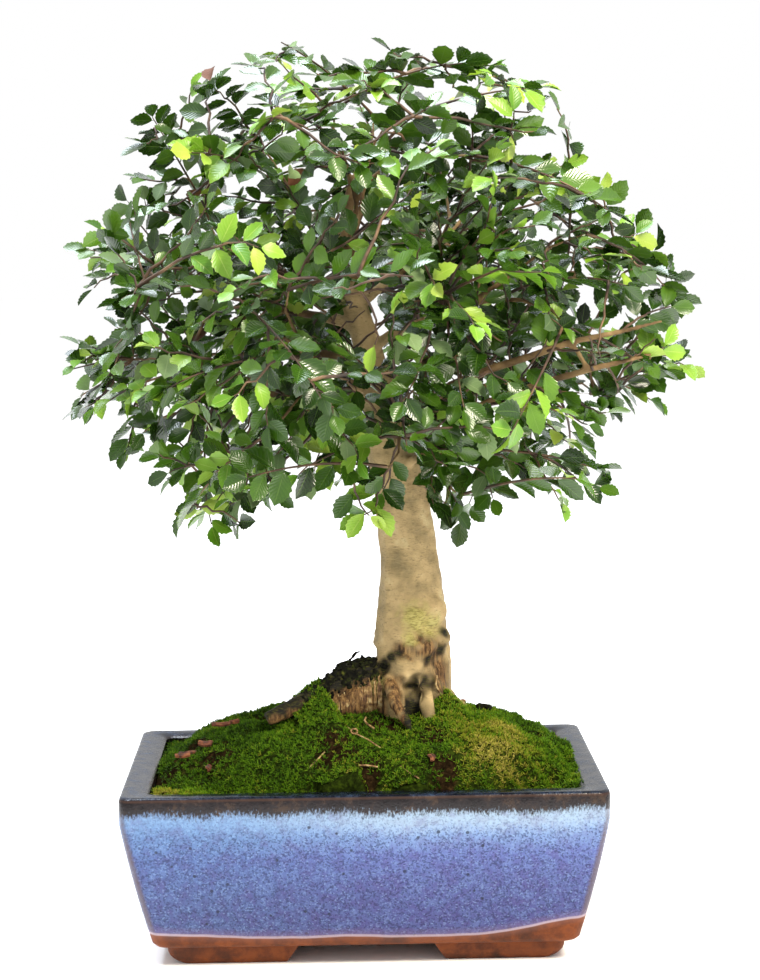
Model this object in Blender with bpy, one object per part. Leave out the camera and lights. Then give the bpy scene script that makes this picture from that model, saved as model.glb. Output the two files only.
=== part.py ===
"""Chinese elm bonsai in a glazed rectangular pot. Metres, +Z up, standing on z = 0."""

import math
import random
from functools import partial

import bmesh
import bpy
from mathutils import Matrix, Vector
from mathutils.bvhtree import BVHTree

GAP = 0.0003

# Pot, from its rim down. Insets are measured in from the rim's outer edge.
POT_WIDTH = 0.240
POT_DEPTH = 0.168
POT_HEIGHT = 0.0885
END_LEAN = 0.015
SIDE_LEAN = 0.012
RIM_BAND = 0.014
RIM_TOP = 0.014
RIM_SLOPE = 0.002
RIM_CORNER = 0.006
RIM_ROUNDING = 0.002
WALL = 0.010
WALL_BOW = 0.25
WALL_MIDDLE = 0.040
CAVITY_CORNER = 0.004
FLOOR_TOP = 0.019
FOOT_HEIGHT = 0.010
FOOT_INSET = 0.006
FOOT_WIDTH = 0.016
FOOT_ROUNDING = 0.003
GLAZE_STEP = 0.002
NOTCH_TOP = 0.0094
FRONT_NOTCH = 0.067
END_NOTCH = 0.044
NOTCH_SLANT = 0.007
DRAIN_RADIUS = 0.008
DRAIN_SPACING = 0.110
DRAIN_CUT = 0.05

# Drainage screens
SCREEN_SIZE = 0.030
SCREEN_THICKNESS = 0.0012
SCREEN_MESHES = 3

# Soil and moss, heaped towards the trunk
SOIL_EDGE = 0.076
MOSS_EDGE = 0.083
MOUND_TOP = 0.120
MOUND_FULLNESS = (0.64, 0.42)
MOUND_BLEND = 0.080
MOUND_SQUARE = 2.6
MOSS_DEPTH = 0.006
MOSS_CELLS = (18, 13)
MOSS_BUMP = 0.0045
MOSS_PLAIN = 0.045
MOSS_FADE = 0.030
MOSS_CORNER = 0.0016
TRUNK_HOLE = 0.0254
TRUNK_HOLE_FLOOR = 0.060
TRUNK_HOLE_CUT = 0.10

# Trunk: x, y, z and radius up its middle, leaning left inside the crown. From row LEADER up it is
# thin enough to bear shoots itself.
TRUNK = (
    (0.0250, 0.000, 0.0603, 0.0190),
    (0.0250, 0.000, 0.118, 0.0222),
    (0.0247, 0.000, 0.136, 0.0205),
    (0.0256, 0.000, 0.158, 0.0184),
    (0.0249, 0.001, 0.176, 0.0164),
    (0.0245, 0.002, 0.200, 0.0145),
    (0.0205, 0.003, 0.228, 0.0136),
    (0.0150, 0.002, 0.252, 0.0116),
    (0.0090, 0.000, 0.280, 0.0094),
    (0.0040, -0.002, 0.305, 0.0070),
    (-0.0030, -0.001, 0.330, 0.0056),
    (-0.0060, 0.004, 0.358, 0.0042),
    (-0.0020, 0.006, 0.384, 0.0022),
)
TRUNK_SIDES = 12
LEADER = 9
TRUNK_LOBES = ((2, 0.05, 0.6), (3, 0.05, 2.2))

# Burrs on the trunk: height, azimuth in degrees, radius
BURRS = ((0.165, -28, 0.0125), (0.150, -75, 0.0110), (0.146, 15, 0.0120), (0.150, 150, 0.0110))
BURR_SUNK = 0.78

# Roots over the moss: azimuth in degrees, length, radius at the trunk, radius at the end
ROOTS = (
    (197, 0.072, 0.0130, 0.0036),
    (-78, 0.046, 0.0058, 0.0018),
    (-36, 0.030, 0.0100, 0.0026),
    (18, 0.034, 0.0105, 0.0028),
    (72, 0.032, 0.0105, 0.0028),
    (128, 0.038, 0.0105, 0.0030),
)
ROOT_START = 0.006
ROOT_BEND = 0.005
ROOT_SIDES = 7
ROOT_SPANS = 6
ROOT_TAPER = 1.4
ROOT_CLEARANCE = 0.0010
ROOT_STEP = 0.006
ROOT_LIFT = 0.014

# Limbs: height on the trunk, azimuth in degrees, height of the tip of its end shoot, radius
LIMBS = (
    (0.237, -12, 0.236, 0.0036),
    (0.247, 186, 0.290, 0.0042),
    (0.256, 6, 0.292, 0.0048),
    (0.250, 98, 0.262, 0.0042),
    (0.262, -84, 0.256, 0.0038),
    (0.276, 48, 0.300, 0.0042),
    (0.272, -132, 0.284, 0.0042),
    (0.292, 138, 0.318, 0.0038),
    (0.300, -42, 0.330, 0.0038),
    (0.310, 177, 0.352, 0.0036),
    (0.322, 12, 0.378, 0.0034),
    (0.332, 222, 0.398, 0.0030),
    (0.340, 84, 0.408, 0.0030),
    (0.348, -70, 0.418, 0.0028),
)
LIMB_RISE = 0.75
LIMB_SIDES = 5
LIMB_SPANS = 5
BRANCH_SIDES = 5
BRANCH_SPANS = 3
BRANCH_ROOT = 0.0017
BRANCH_TIP = 0.0010

# Crown outline from the front: height, left edge, right edge
CROWN = (
    (0.212, -0.085, 0.105),
    (0.235, -0.108, 0.130),
    (0.262, -0.140, 0.152),
    (0.292, -0.155, 0.181),
    (0.330, -0.148, 0.176),
    (0.352, -0.146, 0.160),
    (0.385, -0.124, 0.130),
    (0.415, -0.110, 0.110),
    (0.440, -0.088, 0.086),
    (0.455, -0.055, 0.060),
    (0.466, -0.014, 0.020),
)
CROWN_DEPTH_RATIO = 0.86
CROWN_HEART = Vector((0.008, 0.0, 0.285))
GOLDEN_ANGLE = math.pi * (3 - math.sqrt(5))
SEED = 11

# Leafy shoots
OUTER_SPRAYS = 27
INNER_SPRAYS = 8
INNER_REACH = 0.64
TARGET_POOL = 240
SPRAY_TRIES = 160
SPRAY_CHOICES = 14
YOUNG_EVERY = 4
BLADE = 0.0008
TEST_BLADE = 0.0022
STEM_HALF = 0.0008
LEAF_LENGTH = 0.0220
LEAF_HALF_WIDTH = 0.0064
LEAF_ANGLE = math.radians(56)
LEAF_STEP = 0.0092
LEAF_PAIRS = 3
FIRST_LEAF = 0.009
LEAF_TILT = 0.35
SPRAY_ARCH = 0.13

# Where a shoot's target lies along it, how far it is drawn in, and its lean from pointing outward
SHOOT_HOLD = 0.6
SHOOT_PULL = 0.10
SHOOT_LEANS = (42, 80)
LIMB_LEANS = (10, 50)

# Half of a leaf's toothed edge, from stalk to tip: share of its length, share of its half width
LEAF_EDGE = ((0.36, 1.0), (0.48, 0.78), (0.63, 0.84))


def make_material(name, colour, roughness, metallic=0.0):
    material = bpy.data.materials.new(name)
    material.use_nodes = True
    shader = material.node_tree.nodes["Principled BSDF"]
    shader.inputs["Base Color"].default_value = (*colour, 1.0)
    shader.inputs["Roughness"].default_value = roughness
    shader.inputs["Metallic"].default_value = metallic
    material.diffuse_color = (*colour, 1.0)
    return material


def add_object(name, mesh, material=None):
    """Turn a bmesh into an object under the bonsai's empty."""
    data = bpy.data.meshes.new(name)
    mesh.to_mesh(data)
    mesh.free()
    if material:
        data.materials.append(material)
    part = bpy.data.objects.new(name, data)
    bpy.context.scene.collection.objects.link(part)
    part.parent = bonsai
    return part


def loft(rings):
    """A closed solid through rings of equal point counts, each ring seen anticlockwise from its end."""
    mesh = bmesh.new()
    loops = [[mesh.verts.new(point) for point in ring] for ring in rings]
    for lower, upper in zip(loops, loops[1:]):
        for i in range(len(lower)):
            j = (i + 1) % len(lower)
            mesh.faces.new((lower[i], lower[j], upper[j], upper[i]))
    mesh.faces.new(loops[0][::-1])
    mesh.faces.new(loops[-1])
    return mesh


def rounded_ring(half_x, half_y, radius, z, centre_x=0.0):
    """Points of a level rectangle with round corners, anticlockwise from above."""
    points = []
    for quarter, (side_x, side_y) in enumerate(((1, 1), (-1, 1), (-1, -1), (1, -1))):
        for step in range(3):
            angle = math.pi / 2 * (quarter + step / 2)
            x = centre_x + side_x * (half_x - radius) + radius * math.cos(angle)
            y = side_y * (half_y - radius) + radius * math.sin(angle)
            points.append(Vector((x, y, z)))
    return points


def tube_rings(path, radii, sides, lobes=(), end_along=None):
    """Rings across a path, carried along it without twist, the last one square to end_along."""
    rings = []
    across = None
    for i, point in enumerate(path):
        ahead = path[min(i + 1, len(path) - 1)]
        behind = path[max(i - 1, 0)]
        along = (ahead - behind).normalized()
        if end_along and i == len(path) - 1:
            along = end_along
        if across is None:
            across = along.orthogonal().normalized()
        across = (across - along * across.dot(along)).normalized()
        up = along.cross(across)
        ring = []
        for k in range(sides):
            angle = 2 * math.pi * k / sides
            swell = 1 + sum(size * math.cos(count * angle + phase) for count, size, phase in lobes)
            offset = across * math.cos(angle) + up * math.sin(angle)
            ring.append(point + offset * radii[i] * swell)
        rings.append(ring)
    return rings


def subtract(part, name, cutter_mesh):
    """Cut a hidden solid out of a part."""
    cutter = add_object(name, cutter_mesh)
    cutter.hide_render = True
    cutter.display_type = "WIRE"
    cut = part.modifiers.new(name, "BOOLEAN")
    cut.operation = "DIFFERENCE"
    cut.solver = "EXACT"
    cut.object = cutter


def smooth_shade(part):
    part.data.shade_smooth()
    part.data.set_sharp_from_angle(angle=math.radians(40))


# Pot


def pot_ring(z, inset_x, inset_y, corner=RIM_CORNER):
    return rounded_ring(POT_WIDTH / 2 - inset_x, POT_DEPTH / 2 - inset_y, corner, z)


def wall_inset(z):
    """How far the outer wall stands in from the rim at a height, at the ends and at the sides."""
    band_foot = POT_HEIGHT - RIM_BAND
    share = min(1.0, max(0.0, (band_foot - z) / (band_foot - FOOT_HEIGHT)))
    share = share * (1 - WALL_BOW) + share * share * WALL_BOW
    return END_LEAN * share, SIDE_LEAN * share


def cavity_inset(z):
    """The same for the inner wall."""
    inset_x, inset_y = wall_inset(z)
    return max(inset_x + WALL, RIM_TOP), max(inset_y + WALL, RIM_TOP)


def notch_solid(width, length, turned):
    """A trapezoid bar that cuts the foot ring, wider at the bottom."""
    rings = []
    for end in (-length / 2, length / 2):
        profile = (
            (-width / 2 - NOTCH_SLANT, -0.001),
            (width / 2 + NOTCH_SLANT, -0.001),
            (width / 2, NOTCH_TOP),
            (-width / 2, NOTCH_TOP),
        )
        rings.append([Vector((x, -end, z)) for x, z in profile])
    mesh = loft(rings)
    if turned:
        bmesh.ops.rotate(mesh, verts=mesh.verts, matrix=Matrix.Rotation(math.pi / 2, 3, "Z"))
    bmesh.ops.recalc_face_normals(mesh, faces=mesh.faces)
    return mesh


def make_pot():
    foot_x = END_LEAN + FOOT_INSET
    foot_y = SIDE_LEAN + FOOT_INSET
    rings = [
        pot_ring(0.0, foot_x + FOOT_ROUNDING, foot_y + FOOT_ROUNDING),
        pot_ring(FOOT_ROUNDING, foot_x + FOOT_ROUNDING / 3, foot_y + FOOT_ROUNDING / 3),
        pot_ring(FOOT_HEIGHT - GLAZE_STEP / 10, foot_x, foot_y),
        pot_ring(FOOT_HEIGHT, END_LEAN + GLAZE_STEP, SIDE_LEAN + GLAZE_STEP),
        pot_ring(FOOT_HEIGHT + GLAZE_STEP, END_LEAN, SIDE_LEAN),
    ]
    for z in (WALL_MIDDLE, POT_HEIGHT - RIM_BAND):
        rings.append(pot_ring(z, *wall_inset(z)))
    rings.append(pot_ring(POT_HEIGHT - RIM_ROUNDING, 0.0, 0.0))
    rings.append(pot_ring(POT_HEIGHT, 0.75 * RIM_ROUNDING, 0.75 * RIM_ROUNDING))
    rings.append(pot_ring(POT_HEIGHT - RIM_SLOPE, RIM_TOP, RIM_TOP, CAVITY_CORNER))
    for z in (POT_HEIGHT - RIM_BAND, WALL_MIDDLE, FLOOR_TOP):
        rings.append(pot_ring(z, *cavity_inset(z), CAVITY_CORNER))
    pot = add_object("pot", loft(rings), glaze)
    smooth_shade(pot)

    recess = bmesh.new()
    bmesh.ops.create_cube(recess, size=1.0)
    recess_x = POT_WIDTH - 2 * (foot_x + FOOT_WIDTH)
    recess_y = POT_DEPTH - 2 * (foot_y + FOOT_WIDTH)
    bmesh.ops.scale(recess, verts=recess.verts, vec=(recess_x, recess_y, 2 * NOTCH_TOP))
    subtract(pot, "foot_recess_cutter", recess)
    subtract(pot, "front_notch_cutter", notch_solid(FRONT_NOTCH, POT_DEPTH, False))
    subtract(pot, "end_notch_cutter", notch_solid(END_NOTCH, POT_WIDTH, True))
    for side in (-1, 1):
        drain = bmesh.new()
        bmesh.ops.create_cone(
            drain, cap_ends=True, segments=10, radius1=DRAIN_RADIUS, radius2=DRAIN_RADIUS, depth=DRAIN_CUT
        )
        bmesh.ops.translate(drain, verts=drain.verts, vec=(side * DRAIN_SPACING / 2, 0, FOOT_HEIGHT))
        subtract(pot, f"drain_cutter_{side + 1}", drain)


# Drainage screens


def make_screen(name, centre_x):
    """A plastic mesh square: every second cell of a grid in both directions is open."""
    cells = 2 * SCREEN_MESHES + 1
    mesh = bmesh.new()
    bmesh.ops.create_grid(mesh, x_segments=cells, y_segments=cells, size=SCREEN_SIZE / 2)
    cell = SCREEN_SIZE / cells
    open_cells = []
    for face in mesh.faces:
        centre = face.calc_center_median()
        column = int((centre.x + SCREEN_SIZE / 2) / cell)
        row = int((centre.y + SCREEN_SIZE / 2) / cell)
        if column % 2 == 1 and row % 2 == 1:
            open_cells.append(face)
    bmesh.ops.delete(mesh, geom=open_cells, context="FACES")
    thicken(mesh, SCREEN_THICKNESS)
    bottom = FLOOR_TOP + GAP + SCREEN_THICKNESS
    bmesh.ops.translate(mesh, verts=mesh.verts, vec=(centre_x, 0, bottom))
    add_object(name, mesh, plastic)


def thicken(mesh, depth):
    """Close a flat sheet into a plate that reaches down by its depth."""
    bmesh.ops.triangulate(mesh, faces=mesh.faces, ngon_method="EAR_CLIP")
    moved = bmesh.ops.extrude_face_region(mesh, geom=mesh.faces[:])
    verts = [item for item in moved["geom"] if isinstance(item, bmesh.types.BMVert)]
    bmesh.ops.translate(mesh, verts=verts, vec=(0, 0, -depth))
    bmesh.ops.recalc_face_normals(mesh, faces=mesh.faces)


# Soil and moss


def mound_height(x, y, edge, top):
    """Height of the heap: full in the middle, falling steeply to the wall on the trunk's side."""
    trunk_x = TRUNK[0][0]
    inner_x = POT_WIDTH / 2 - RIM_TOP
    inner_y = POT_DEPTH / 2 - RIM_TOP
    run_x = inner_x - trunk_x if x > trunk_x else inner_x + trunk_x
    across = abs(x - trunk_x) / run_x
    distance = min(1.0, (across**MOUND_SQUARE + abs(y / inner_y) ** MOUND_SQUARE) ** (1 / MOUND_SQUARE))
    right_share = min(1.0, max(0.0, 0.5 + (x - trunk_x) / MOUND_BLEND))
    fullness = MOUND_FULLNESS[0] + (MOUND_FULLNESS[1] - MOUND_FULLNESS[0]) * right_share
    return edge + (top - edge) * (1 - distance * distance) ** fullness


def moss_height(x, y):
    """Top of the moss: the heap, with cushions that fade out under the roots."""
    from_trunk = math.hypot(x - TRUNK[0][0], y)
    fade = min(1.0, max(0.0, (from_trunk - MOSS_PLAIN) / MOSS_FADE))
    cushions = abs(math.sin(x * 150 + y * 40 + 1.2)) * abs(math.sin(y * 190 - x * 30 + 0.4))
    ripples = 0.4 * math.sin(x * 310 - y * 133) * math.sin(y * 290 + 1.0)
    return mound_height(x, y, MOSS_EDGE, MOUND_TOP) + MOSS_BUMP * fade * (cushions + ripples - 0.3)


def soil_solid(clearance):
    """The soil body, or that body grown by a clearance to cut the moss that lies on it."""
    rings = []
    bottom = FLOOR_TOP + 2 * GAP + SCREEN_THICKNESS
    for z in (bottom, WALL_MIDDLE, SOIL_EDGE):
        inset_x, inset_y = cavity_inset(z)
        room = GAP - clearance
        rings.append(pot_ring(z + clearance, inset_x + room, inset_y + room, CAVITY_CORNER))
    edge_x = POT_WIDTH / 2 - RIM_TOP - GAP
    edge_y = POT_DEPTH / 2 - RIM_TOP - GAP
    for share in (0.86, 0.66, 0.42):
        centre_x = TRUNK[0][0] * (1 - share)
        ring = rounded_ring(edge_x * share, edge_y * share, edge_y * share * (1.1 - share), 0, centre_x)
        for point in ring:
            heap = mound_height(point.x, point.y, SOIL_EDGE, MOUND_TOP - MOSS_DEPTH)
            point.z = heap - 0.001 + clearance
        rings.append(ring)
    level = min(point.z for point in rings[-1])
    for point in rings[-1]:
        point.z = level
    mesh = loft(rings)
    bmesh.ops.triangulate(mesh, faces=mesh.faces, quad_method="FIXED")
    return mesh


def trunk_hole():
    """The plain round hole that the trunk's foot stands in."""
    mesh = bmesh.new()
    bmesh.ops.create_cone(
        mesh, cap_ends=True, segments=16, radius1=TRUNK_HOLE, radius2=TRUNK_HOLE, depth=TRUNK_HOLE_CUT
    )
    middle = TRUNK_HOLE_FLOOR + TRUNK_HOLE_CUT / 2
    bmesh.ops.translate(mesh, verts=mesh.verts, vec=(TRUNK[0][0], 0, middle))
    return mesh


def make_soil():
    soil = add_object("soil", soil_solid(0.0), earth)
    subtract(soil, "soil_hole_cutter", trunk_hole())


def make_moss():
    """A carpet with a bumpy top, vertical edges and an underside cut to the soil's heap."""
    half_x = POT_WIDTH / 2 - RIM_TOP - 2 * GAP
    half_y = POT_DEPTH / 2 - RIM_TOP - 2 * GAP
    mesh = bmesh.new()
    bmesh.ops.create_grid(mesh, x_segments=MOSS_CELLS[0], y_segments=MOSS_CELLS[1], size=1.0)
    for corner in [vert for vert in mesh.verts if vert.co.xy.length > 1.4]:
        corner.co.x *= 1 - MOSS_CORNER / half_x
        corner.co.y *= 1 - MOSS_CORNER / half_y
    bmesh.ops.scale(mesh, verts=mesh.verts, vec=(half_x, half_y, 1.0))
    top = list(mesh.verts)
    bmesh.ops.triangulate(mesh, faces=mesh.faces)
    moved = bmesh.ops.extrude_face_region(mesh, geom=mesh.faces[:])
    bottom = [item for item in moved["geom"] if isinstance(item, bmesh.types.BMVert)]
    for vert in top:
        vert.co.z = moss_height(vert.co.x, vert.co.y)
    for vert in bottom:
        vert.co.z = SOIL_EDGE - 0.004
    bmesh.ops.recalc_face_normals(mesh, faces=mesh.faces)
    flat = [face for face in mesh.faces if face.normal.z < -0.99]
    bmesh.ops.dissolve_faces(mesh, faces=flat)
    moss = add_object("moss", mesh, moss_green)
    subtract(moss, "moss_underside_cutter", soil_solid(GAP))
    subtract(moss, "moss_hole_cutter", trunk_hole())
    smooth_shade(moss)


# Leafy shoots


def leaf_points(root, along, length, half_width):
    """A leaf's toothed edge from one side of its stalk round the tip to the other."""
    across = Vector((-along.y, along.x, 0))
    near = [root + along * length * t - across * half_width * w for t, w in LEAF_EDGE]
    far = [root + along * length * t + across * half_width * w for t, w in reversed(LEAF_EDGE)]
    return near + [root + along * length] + far


def shoot_outline(rng, size):
    """Flat outline of a shoot along +X: leaves right and left in turn, and one at the tip."""
    half = STEM_HALF
    sides = {1: [], -1: []}
    for k in range(2 * LEAF_PAIRS):
        side = 1 if k % 2 == 0 else -1
        x = FIRST_LEAF + k * LEAF_STEP * size
        angle = side * (LEAF_ANGLE + math.radians(rng.uniform(-5, 5)))
        along = Vector((math.cos(angle), math.sin(angle), 0))
        length = LEAF_LENGTH * size * rng.uniform(0.86, 1.06)
        width = LEAF_HALF_WIDTH * size * rng.uniform(0.9, 1.0)
        leaf = leaf_points(Vector((x, side * half, 0)), along, length, width)
        if side > 0:
            leaf.reverse()
        stalk = [Vector((x - half, side * half, 0)), Vector((x + half, side * half, 0))]
        sides[side].append([stalk[0], *leaf, stalk[1]])
    tip = Vector((FIRST_LEAF + (2 * LEAF_PAIRS) * LEAF_STEP * size + 0.002, 0, 0))
    outline = [Vector((0, half, 0))]
    for leaf in sides[1]:
        outline += leaf
    outline += reversed(leaf_points(tip, Vector((1, 0, 0)), LEAF_LENGTH * size, LEAF_HALF_WIDTH * size))
    for leaf in reversed(sides[-1]):
        outline += reversed(leaf)
    outline.append(Vector((0, -half, 0)))
    return outline


def bend_shoot(point, phase, arch):
    """Tip each leaf a little its own way, then arch the whole shoot down over its length."""
    side = 1 if point.y > 0 else -1
    beyond_stem = max(0.0, abs(point.y) - STEM_HALF)
    z = point.z + LEAF_TILT * beyond_stem * math.sin(point.x * 205 + phase + 1.4 * side)
    turn = point.x / arch
    return Vector(((arch + z) * math.sin(turn), point.y, (arch + z) * math.cos(turn) - arch))


def shoot_mesh(outline, thickness, phase, arch):
    """The shoot's blade as points and triangles that are alike on both faces."""
    mesh = bmesh.new()
    mesh.faces.new([mesh.verts.new(point) for point in outline])
    bmesh.ops.translate(mesh, verts=mesh.verts, vec=(0, 0, thickness / 2))
    thicken(mesh, thickness)
    for vert in mesh.verts:
        vert.co = bend_shoot(vert.co, phase, arch)
    return mesh


def crown_edge(z, azimuth):
    """A point on the crown's outline at a height and an azimuth."""
    for (low, left_low, right_low), (high, left_high, right_high) in zip(CROWN, CROWN[1:]):
        if z <= high:
            break
    share = min(1.0, max(0.0, (z - low) / (high - low)))
    left = left_low + (left_high - left_low) * share
    right = right_low + (right_high - right_low) * share
    middle = (left + right) / 2
    half = (right - left) / 2
    return Vector((middle + half * math.cos(azimuth), CROWN_DEPTH_RATIO * half * math.sin(azimuth), z))


def spread_targets(first):
    """Shoot tips spread over the crown: each new one as far as can be from those before it."""
    low = CROWN[0][0] + 0.004
    high = CROWN[-1][0]
    pool = []
    for i in range(TARGET_POOL):
        z = low + (high - low) * (i + 0.5) / TARGET_POOL
        pool.append(crown_edge(z, i * GOLDEN_ANGLE))
    inner_pool = [CROWN_HEART.lerp(point, INNER_REACH) for point in pool if point.z > CROWN_HEART.z]
    targets = list(first)
    for count, points in ((OUTER_SPRAYS, pool), (INNER_SPRAYS, inner_pool)):
        for _ in range(count):
            targets.append(max(points, key=lambda point: min((point - t).length for t in targets)))
    return targets[len(first):]


# Wood


def hermite(start, start_slope, end, end_slope, spans):
    """Points on a smooth curve between two points with given directions."""
    points = []
    for k in range(spans + 1):
        t = k / spans
        points.append(
            start * (2 * t**3 - 3 * t**2 + 1)
            + start_slope * (t**3 - 2 * t**2 + t)
            + end * (3 * t**2 - 2 * t**3)
            + end_slope * (t**3 - t**2)
        )
    return points


def trunk_at(z):
    """The trunk's middle and radius at a height."""
    for lower, upper in zip(TRUNK, TRUNK[1:]):
        if z <= upper[2]:
            break
    share = (z - lower[2]) / (upper[2] - lower[2])
    middle = Vector(lower[:3]).lerp(Vector(upper[:3]), share)
    return middle, lower[3] + (upper[3] - lower[3]) * share


def taper(start, end, count):
    return [start + (end - start) * k / (count - 1) for k in range(count)]


def root_path(azimuth, length, radii):
    """A root that leaves the trunk above the moss and follows the heap down, clear of it."""
    outward = Vector((math.cos(azimuth), math.sin(azimuth), 0))
    sideways = Vector((-outward.y, outward.x, 0))
    foot = Vector((TRUNK[0][0], 0, 0))
    points = []
    last = len(radii) - 1
    for k, radius in enumerate(radii):
        share = k / last
        point = foot + outward * (ROOT_START + length * share)
        point += sideways * ROOT_BEND * math.sin(share * 5 + azimuth) * share
        step = outward * ROOT_STEP
        under = (point, point + step, point - step, point + sideways * radius, point - sideways * radius)
        ground = max(moss_height(place.x, place.y) for place in under)
        point.z = ground + radius + ROOT_CLEARANCE + ROOT_LIFT * (1 - share) ** 3
        points.append(point)
    return points


def rings_to_polygons(rings):
    """Points and faces of a tube, for tests of what it would run into."""
    count = len(rings[0])
    points = [point for ring in rings for point in ring]
    faces = []
    for level in range(len(rings) - 1):
        for i in range(count):
            j = (i + 1) % count
            base = level * count
            faces.append((base + i, base + j, base + count + j, base + count + i))
    return points, faces


def branch_to(forks, base, along):
    """A branch to a shoot from the fork that gives the shortest and straightest one."""
    def cost(fork):
        reach = base - fork["point"]
        way = reach.normalized()
        bends = 0.6 * (1 - way.dot(fork["along"])) + 0.3 * (1 - way.dot(along))
        return max(reach.length, 0.02) * (1 + bends + 0.3 * fork["used"])

    fork = min(forks, key=cost)
    reach = (base - fork["point"]).length
    path = hermite(fork["point"], fork["along"] * reach * 0.7, base, along * reach * 0.7, BRANCH_SPANS)
    return cost(fork), path, taper(BRANCH_ROOT, BRANCH_TIP, len(path)), BRANCH_SIDES, fork


def limb_to(height, azimuth, radius, base, along):
    """A limb that rises out of the trunk and ends in a shoot."""
    start, _ = trunk_at(height)
    outward = Vector((math.cos(azimuth), math.sin(azimuth), LIMB_RISE))
    reach = (base - start).length
    path = hermite(start, outward * reach * 0.7, base, along * reach * 0.6, LIMB_SPANS)
    bend = 2 - (base - start).normalized().dot(along)
    return bend, path, taper(radius, BRANCH_TIP, len(path)), LIMB_SIDES, None


def shoot_frame(rng, target, reach, arch, leans):
    """A shoot's place: a point along it on the target, its face turned out of the crown and up."""
    radial = (target - CROWN_HEART).normalized()
    sideways = Vector((rng.uniform(-1, 1), rng.uniform(-1, 1), rng.uniform(-0.7, 0.9)))
    sideways = (sideways - radial * sideways.dot(radial)).normalized()
    lean = math.radians(rng.uniform(*leans))
    along = (radial * math.cos(lean) + sideways * math.sin(lean)).normalized()
    face = radial + Vector((0, 0, 0.7)) + 0.35 * sideways
    normal = (face - along * face.dot(along)).normalized()
    turn = reach / arch
    base = target - along * arch * math.sin(turn) + normal * arch * (1 - math.cos(turn))
    frame = Matrix((along, normal.cross(along), normal)).transposed().to_4x4()
    frame.translation = base
    return frame, base, along


def shoot_parts(rng):
    """One shoot's own blade, a thicker copy of it for tests, its length and its arch."""
    phase = rng.uniform(0, 2 * math.pi)
    arch = SPRAY_ARCH * rng.uniform(0.85, 1.6)
    outline = shoot_outline(rng, rng.uniform(0.92, 1.06))
    tester = shoot_mesh(outline, TEST_BLADE, phase, arch)
    tester.verts.index_update()
    points = [vert.co.copy() for vert in tester.verts]
    faces = [[vert.index for vert in face.verts] for face in tester.faces]
    tester.free()
    length = max(point.x for point in outline)
    return shoot_mesh(outline, BLADE, phase, arch), points, faces, length, arch


def place_shoot(rng, target, hold, leans, grow, crown):
    """Try places for a shoot, clear of all the rest, and keep the one with the best wood."""
    blade, points, faces, length, arch = shoot_parts(rng)
    choices = []
    for _ in range(SPRAY_TRIES):
        frame, base, along = shoot_frame(rng, target, length * hold, arch, leans)
        cost, path, radii, sides, fork = grow(base - along * GAP, along)
        rings = tube_rings(path, radii, sides, end_along=along)
        shoot = BVHTree.FromPolygons([frame @ point for point in points], faces)
        wood = BVHTree.FromPolygons(*rings_to_polygons(rings))
        if shoot.overlap(wood) or any(shoot.overlap(other) for other in crown["wood"] + crown["shoots"]):
            continue
        if any(wood.overlap(other) for other in crown["shoots"]):
            continue
        choices.append((cost, len(choices), frame, rings, path, shoot, wood, fork))
        if len(choices) == SPRAY_CHOICES:
            break
    if not choices:
        return
    _, _, frame, rings, path, shoot, wood, fork = min(choices)
    if fork:
        fork["used"] += 1
    else:
        crown["forks"] += forks_along(path[1:-1])
    crown["shoots"].append(shoot)
    crown["wood"].append(wood)
    crown["rings"].append(rings)
    bmesh.ops.transform(blade, matrix=frame, verts=blade.verts)
    crown["blades"].append(blade)


def grow_crown(rng, trunk_rings, trunk_path):
    """Limbs with a shoot at each end, then branches from them to shoots all over the crown."""
    trunk = BVHTree.FromPolygons(*rings_to_polygons(trunk_rings))
    crown = {"wood": [trunk], "shoots": [], "rings": [], "blades": [], "forks": []}
    firsts = []
    for height, azimuth, tip_height, radius in LIMBS:
        angle = math.radians(azimuth)
        target = crown_edge(tip_height, angle)
        firsts.append(target)
        place_shoot(rng, target, 1.0, LIMB_LEANS, partial(limb_to, height, angle, radius), crown)
    crown["forks"] += forks_along(trunk_path[LEADER:])
    for target in spread_targets(firsts):
        target = target.lerp(CROWN_HEART, SHOOT_PULL)
        place_shoot(rng, target, SHOOT_HOLD, SHOOT_LEANS, partial(branch_to, crown["forks"]), crown)
    return crown


def forks_along(path):
    """Places on a limb where branches may fork off."""
    forks = []
    for i in range(1, len(path)):
        along = (path[i] - path[i - 1]).normalized()
        forks.append({"point": path[i].copy(), "along": along, "used": 0})
    return forks


def make_burr(height, azimuth, radius):
    middle, trunk_radius = trunk_at(height)
    outward = Vector((math.cos(azimuth), math.sin(azimuth), 0))
    mesh = bmesh.new()
    bmesh.ops.create_icosphere(mesh, subdivisions=2, radius=radius)
    bmesh.ops.translate(mesh, verts=mesh.verts, vec=middle + outward * (trunk_radius - radius * BURR_SUNK))
    return mesh


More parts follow.
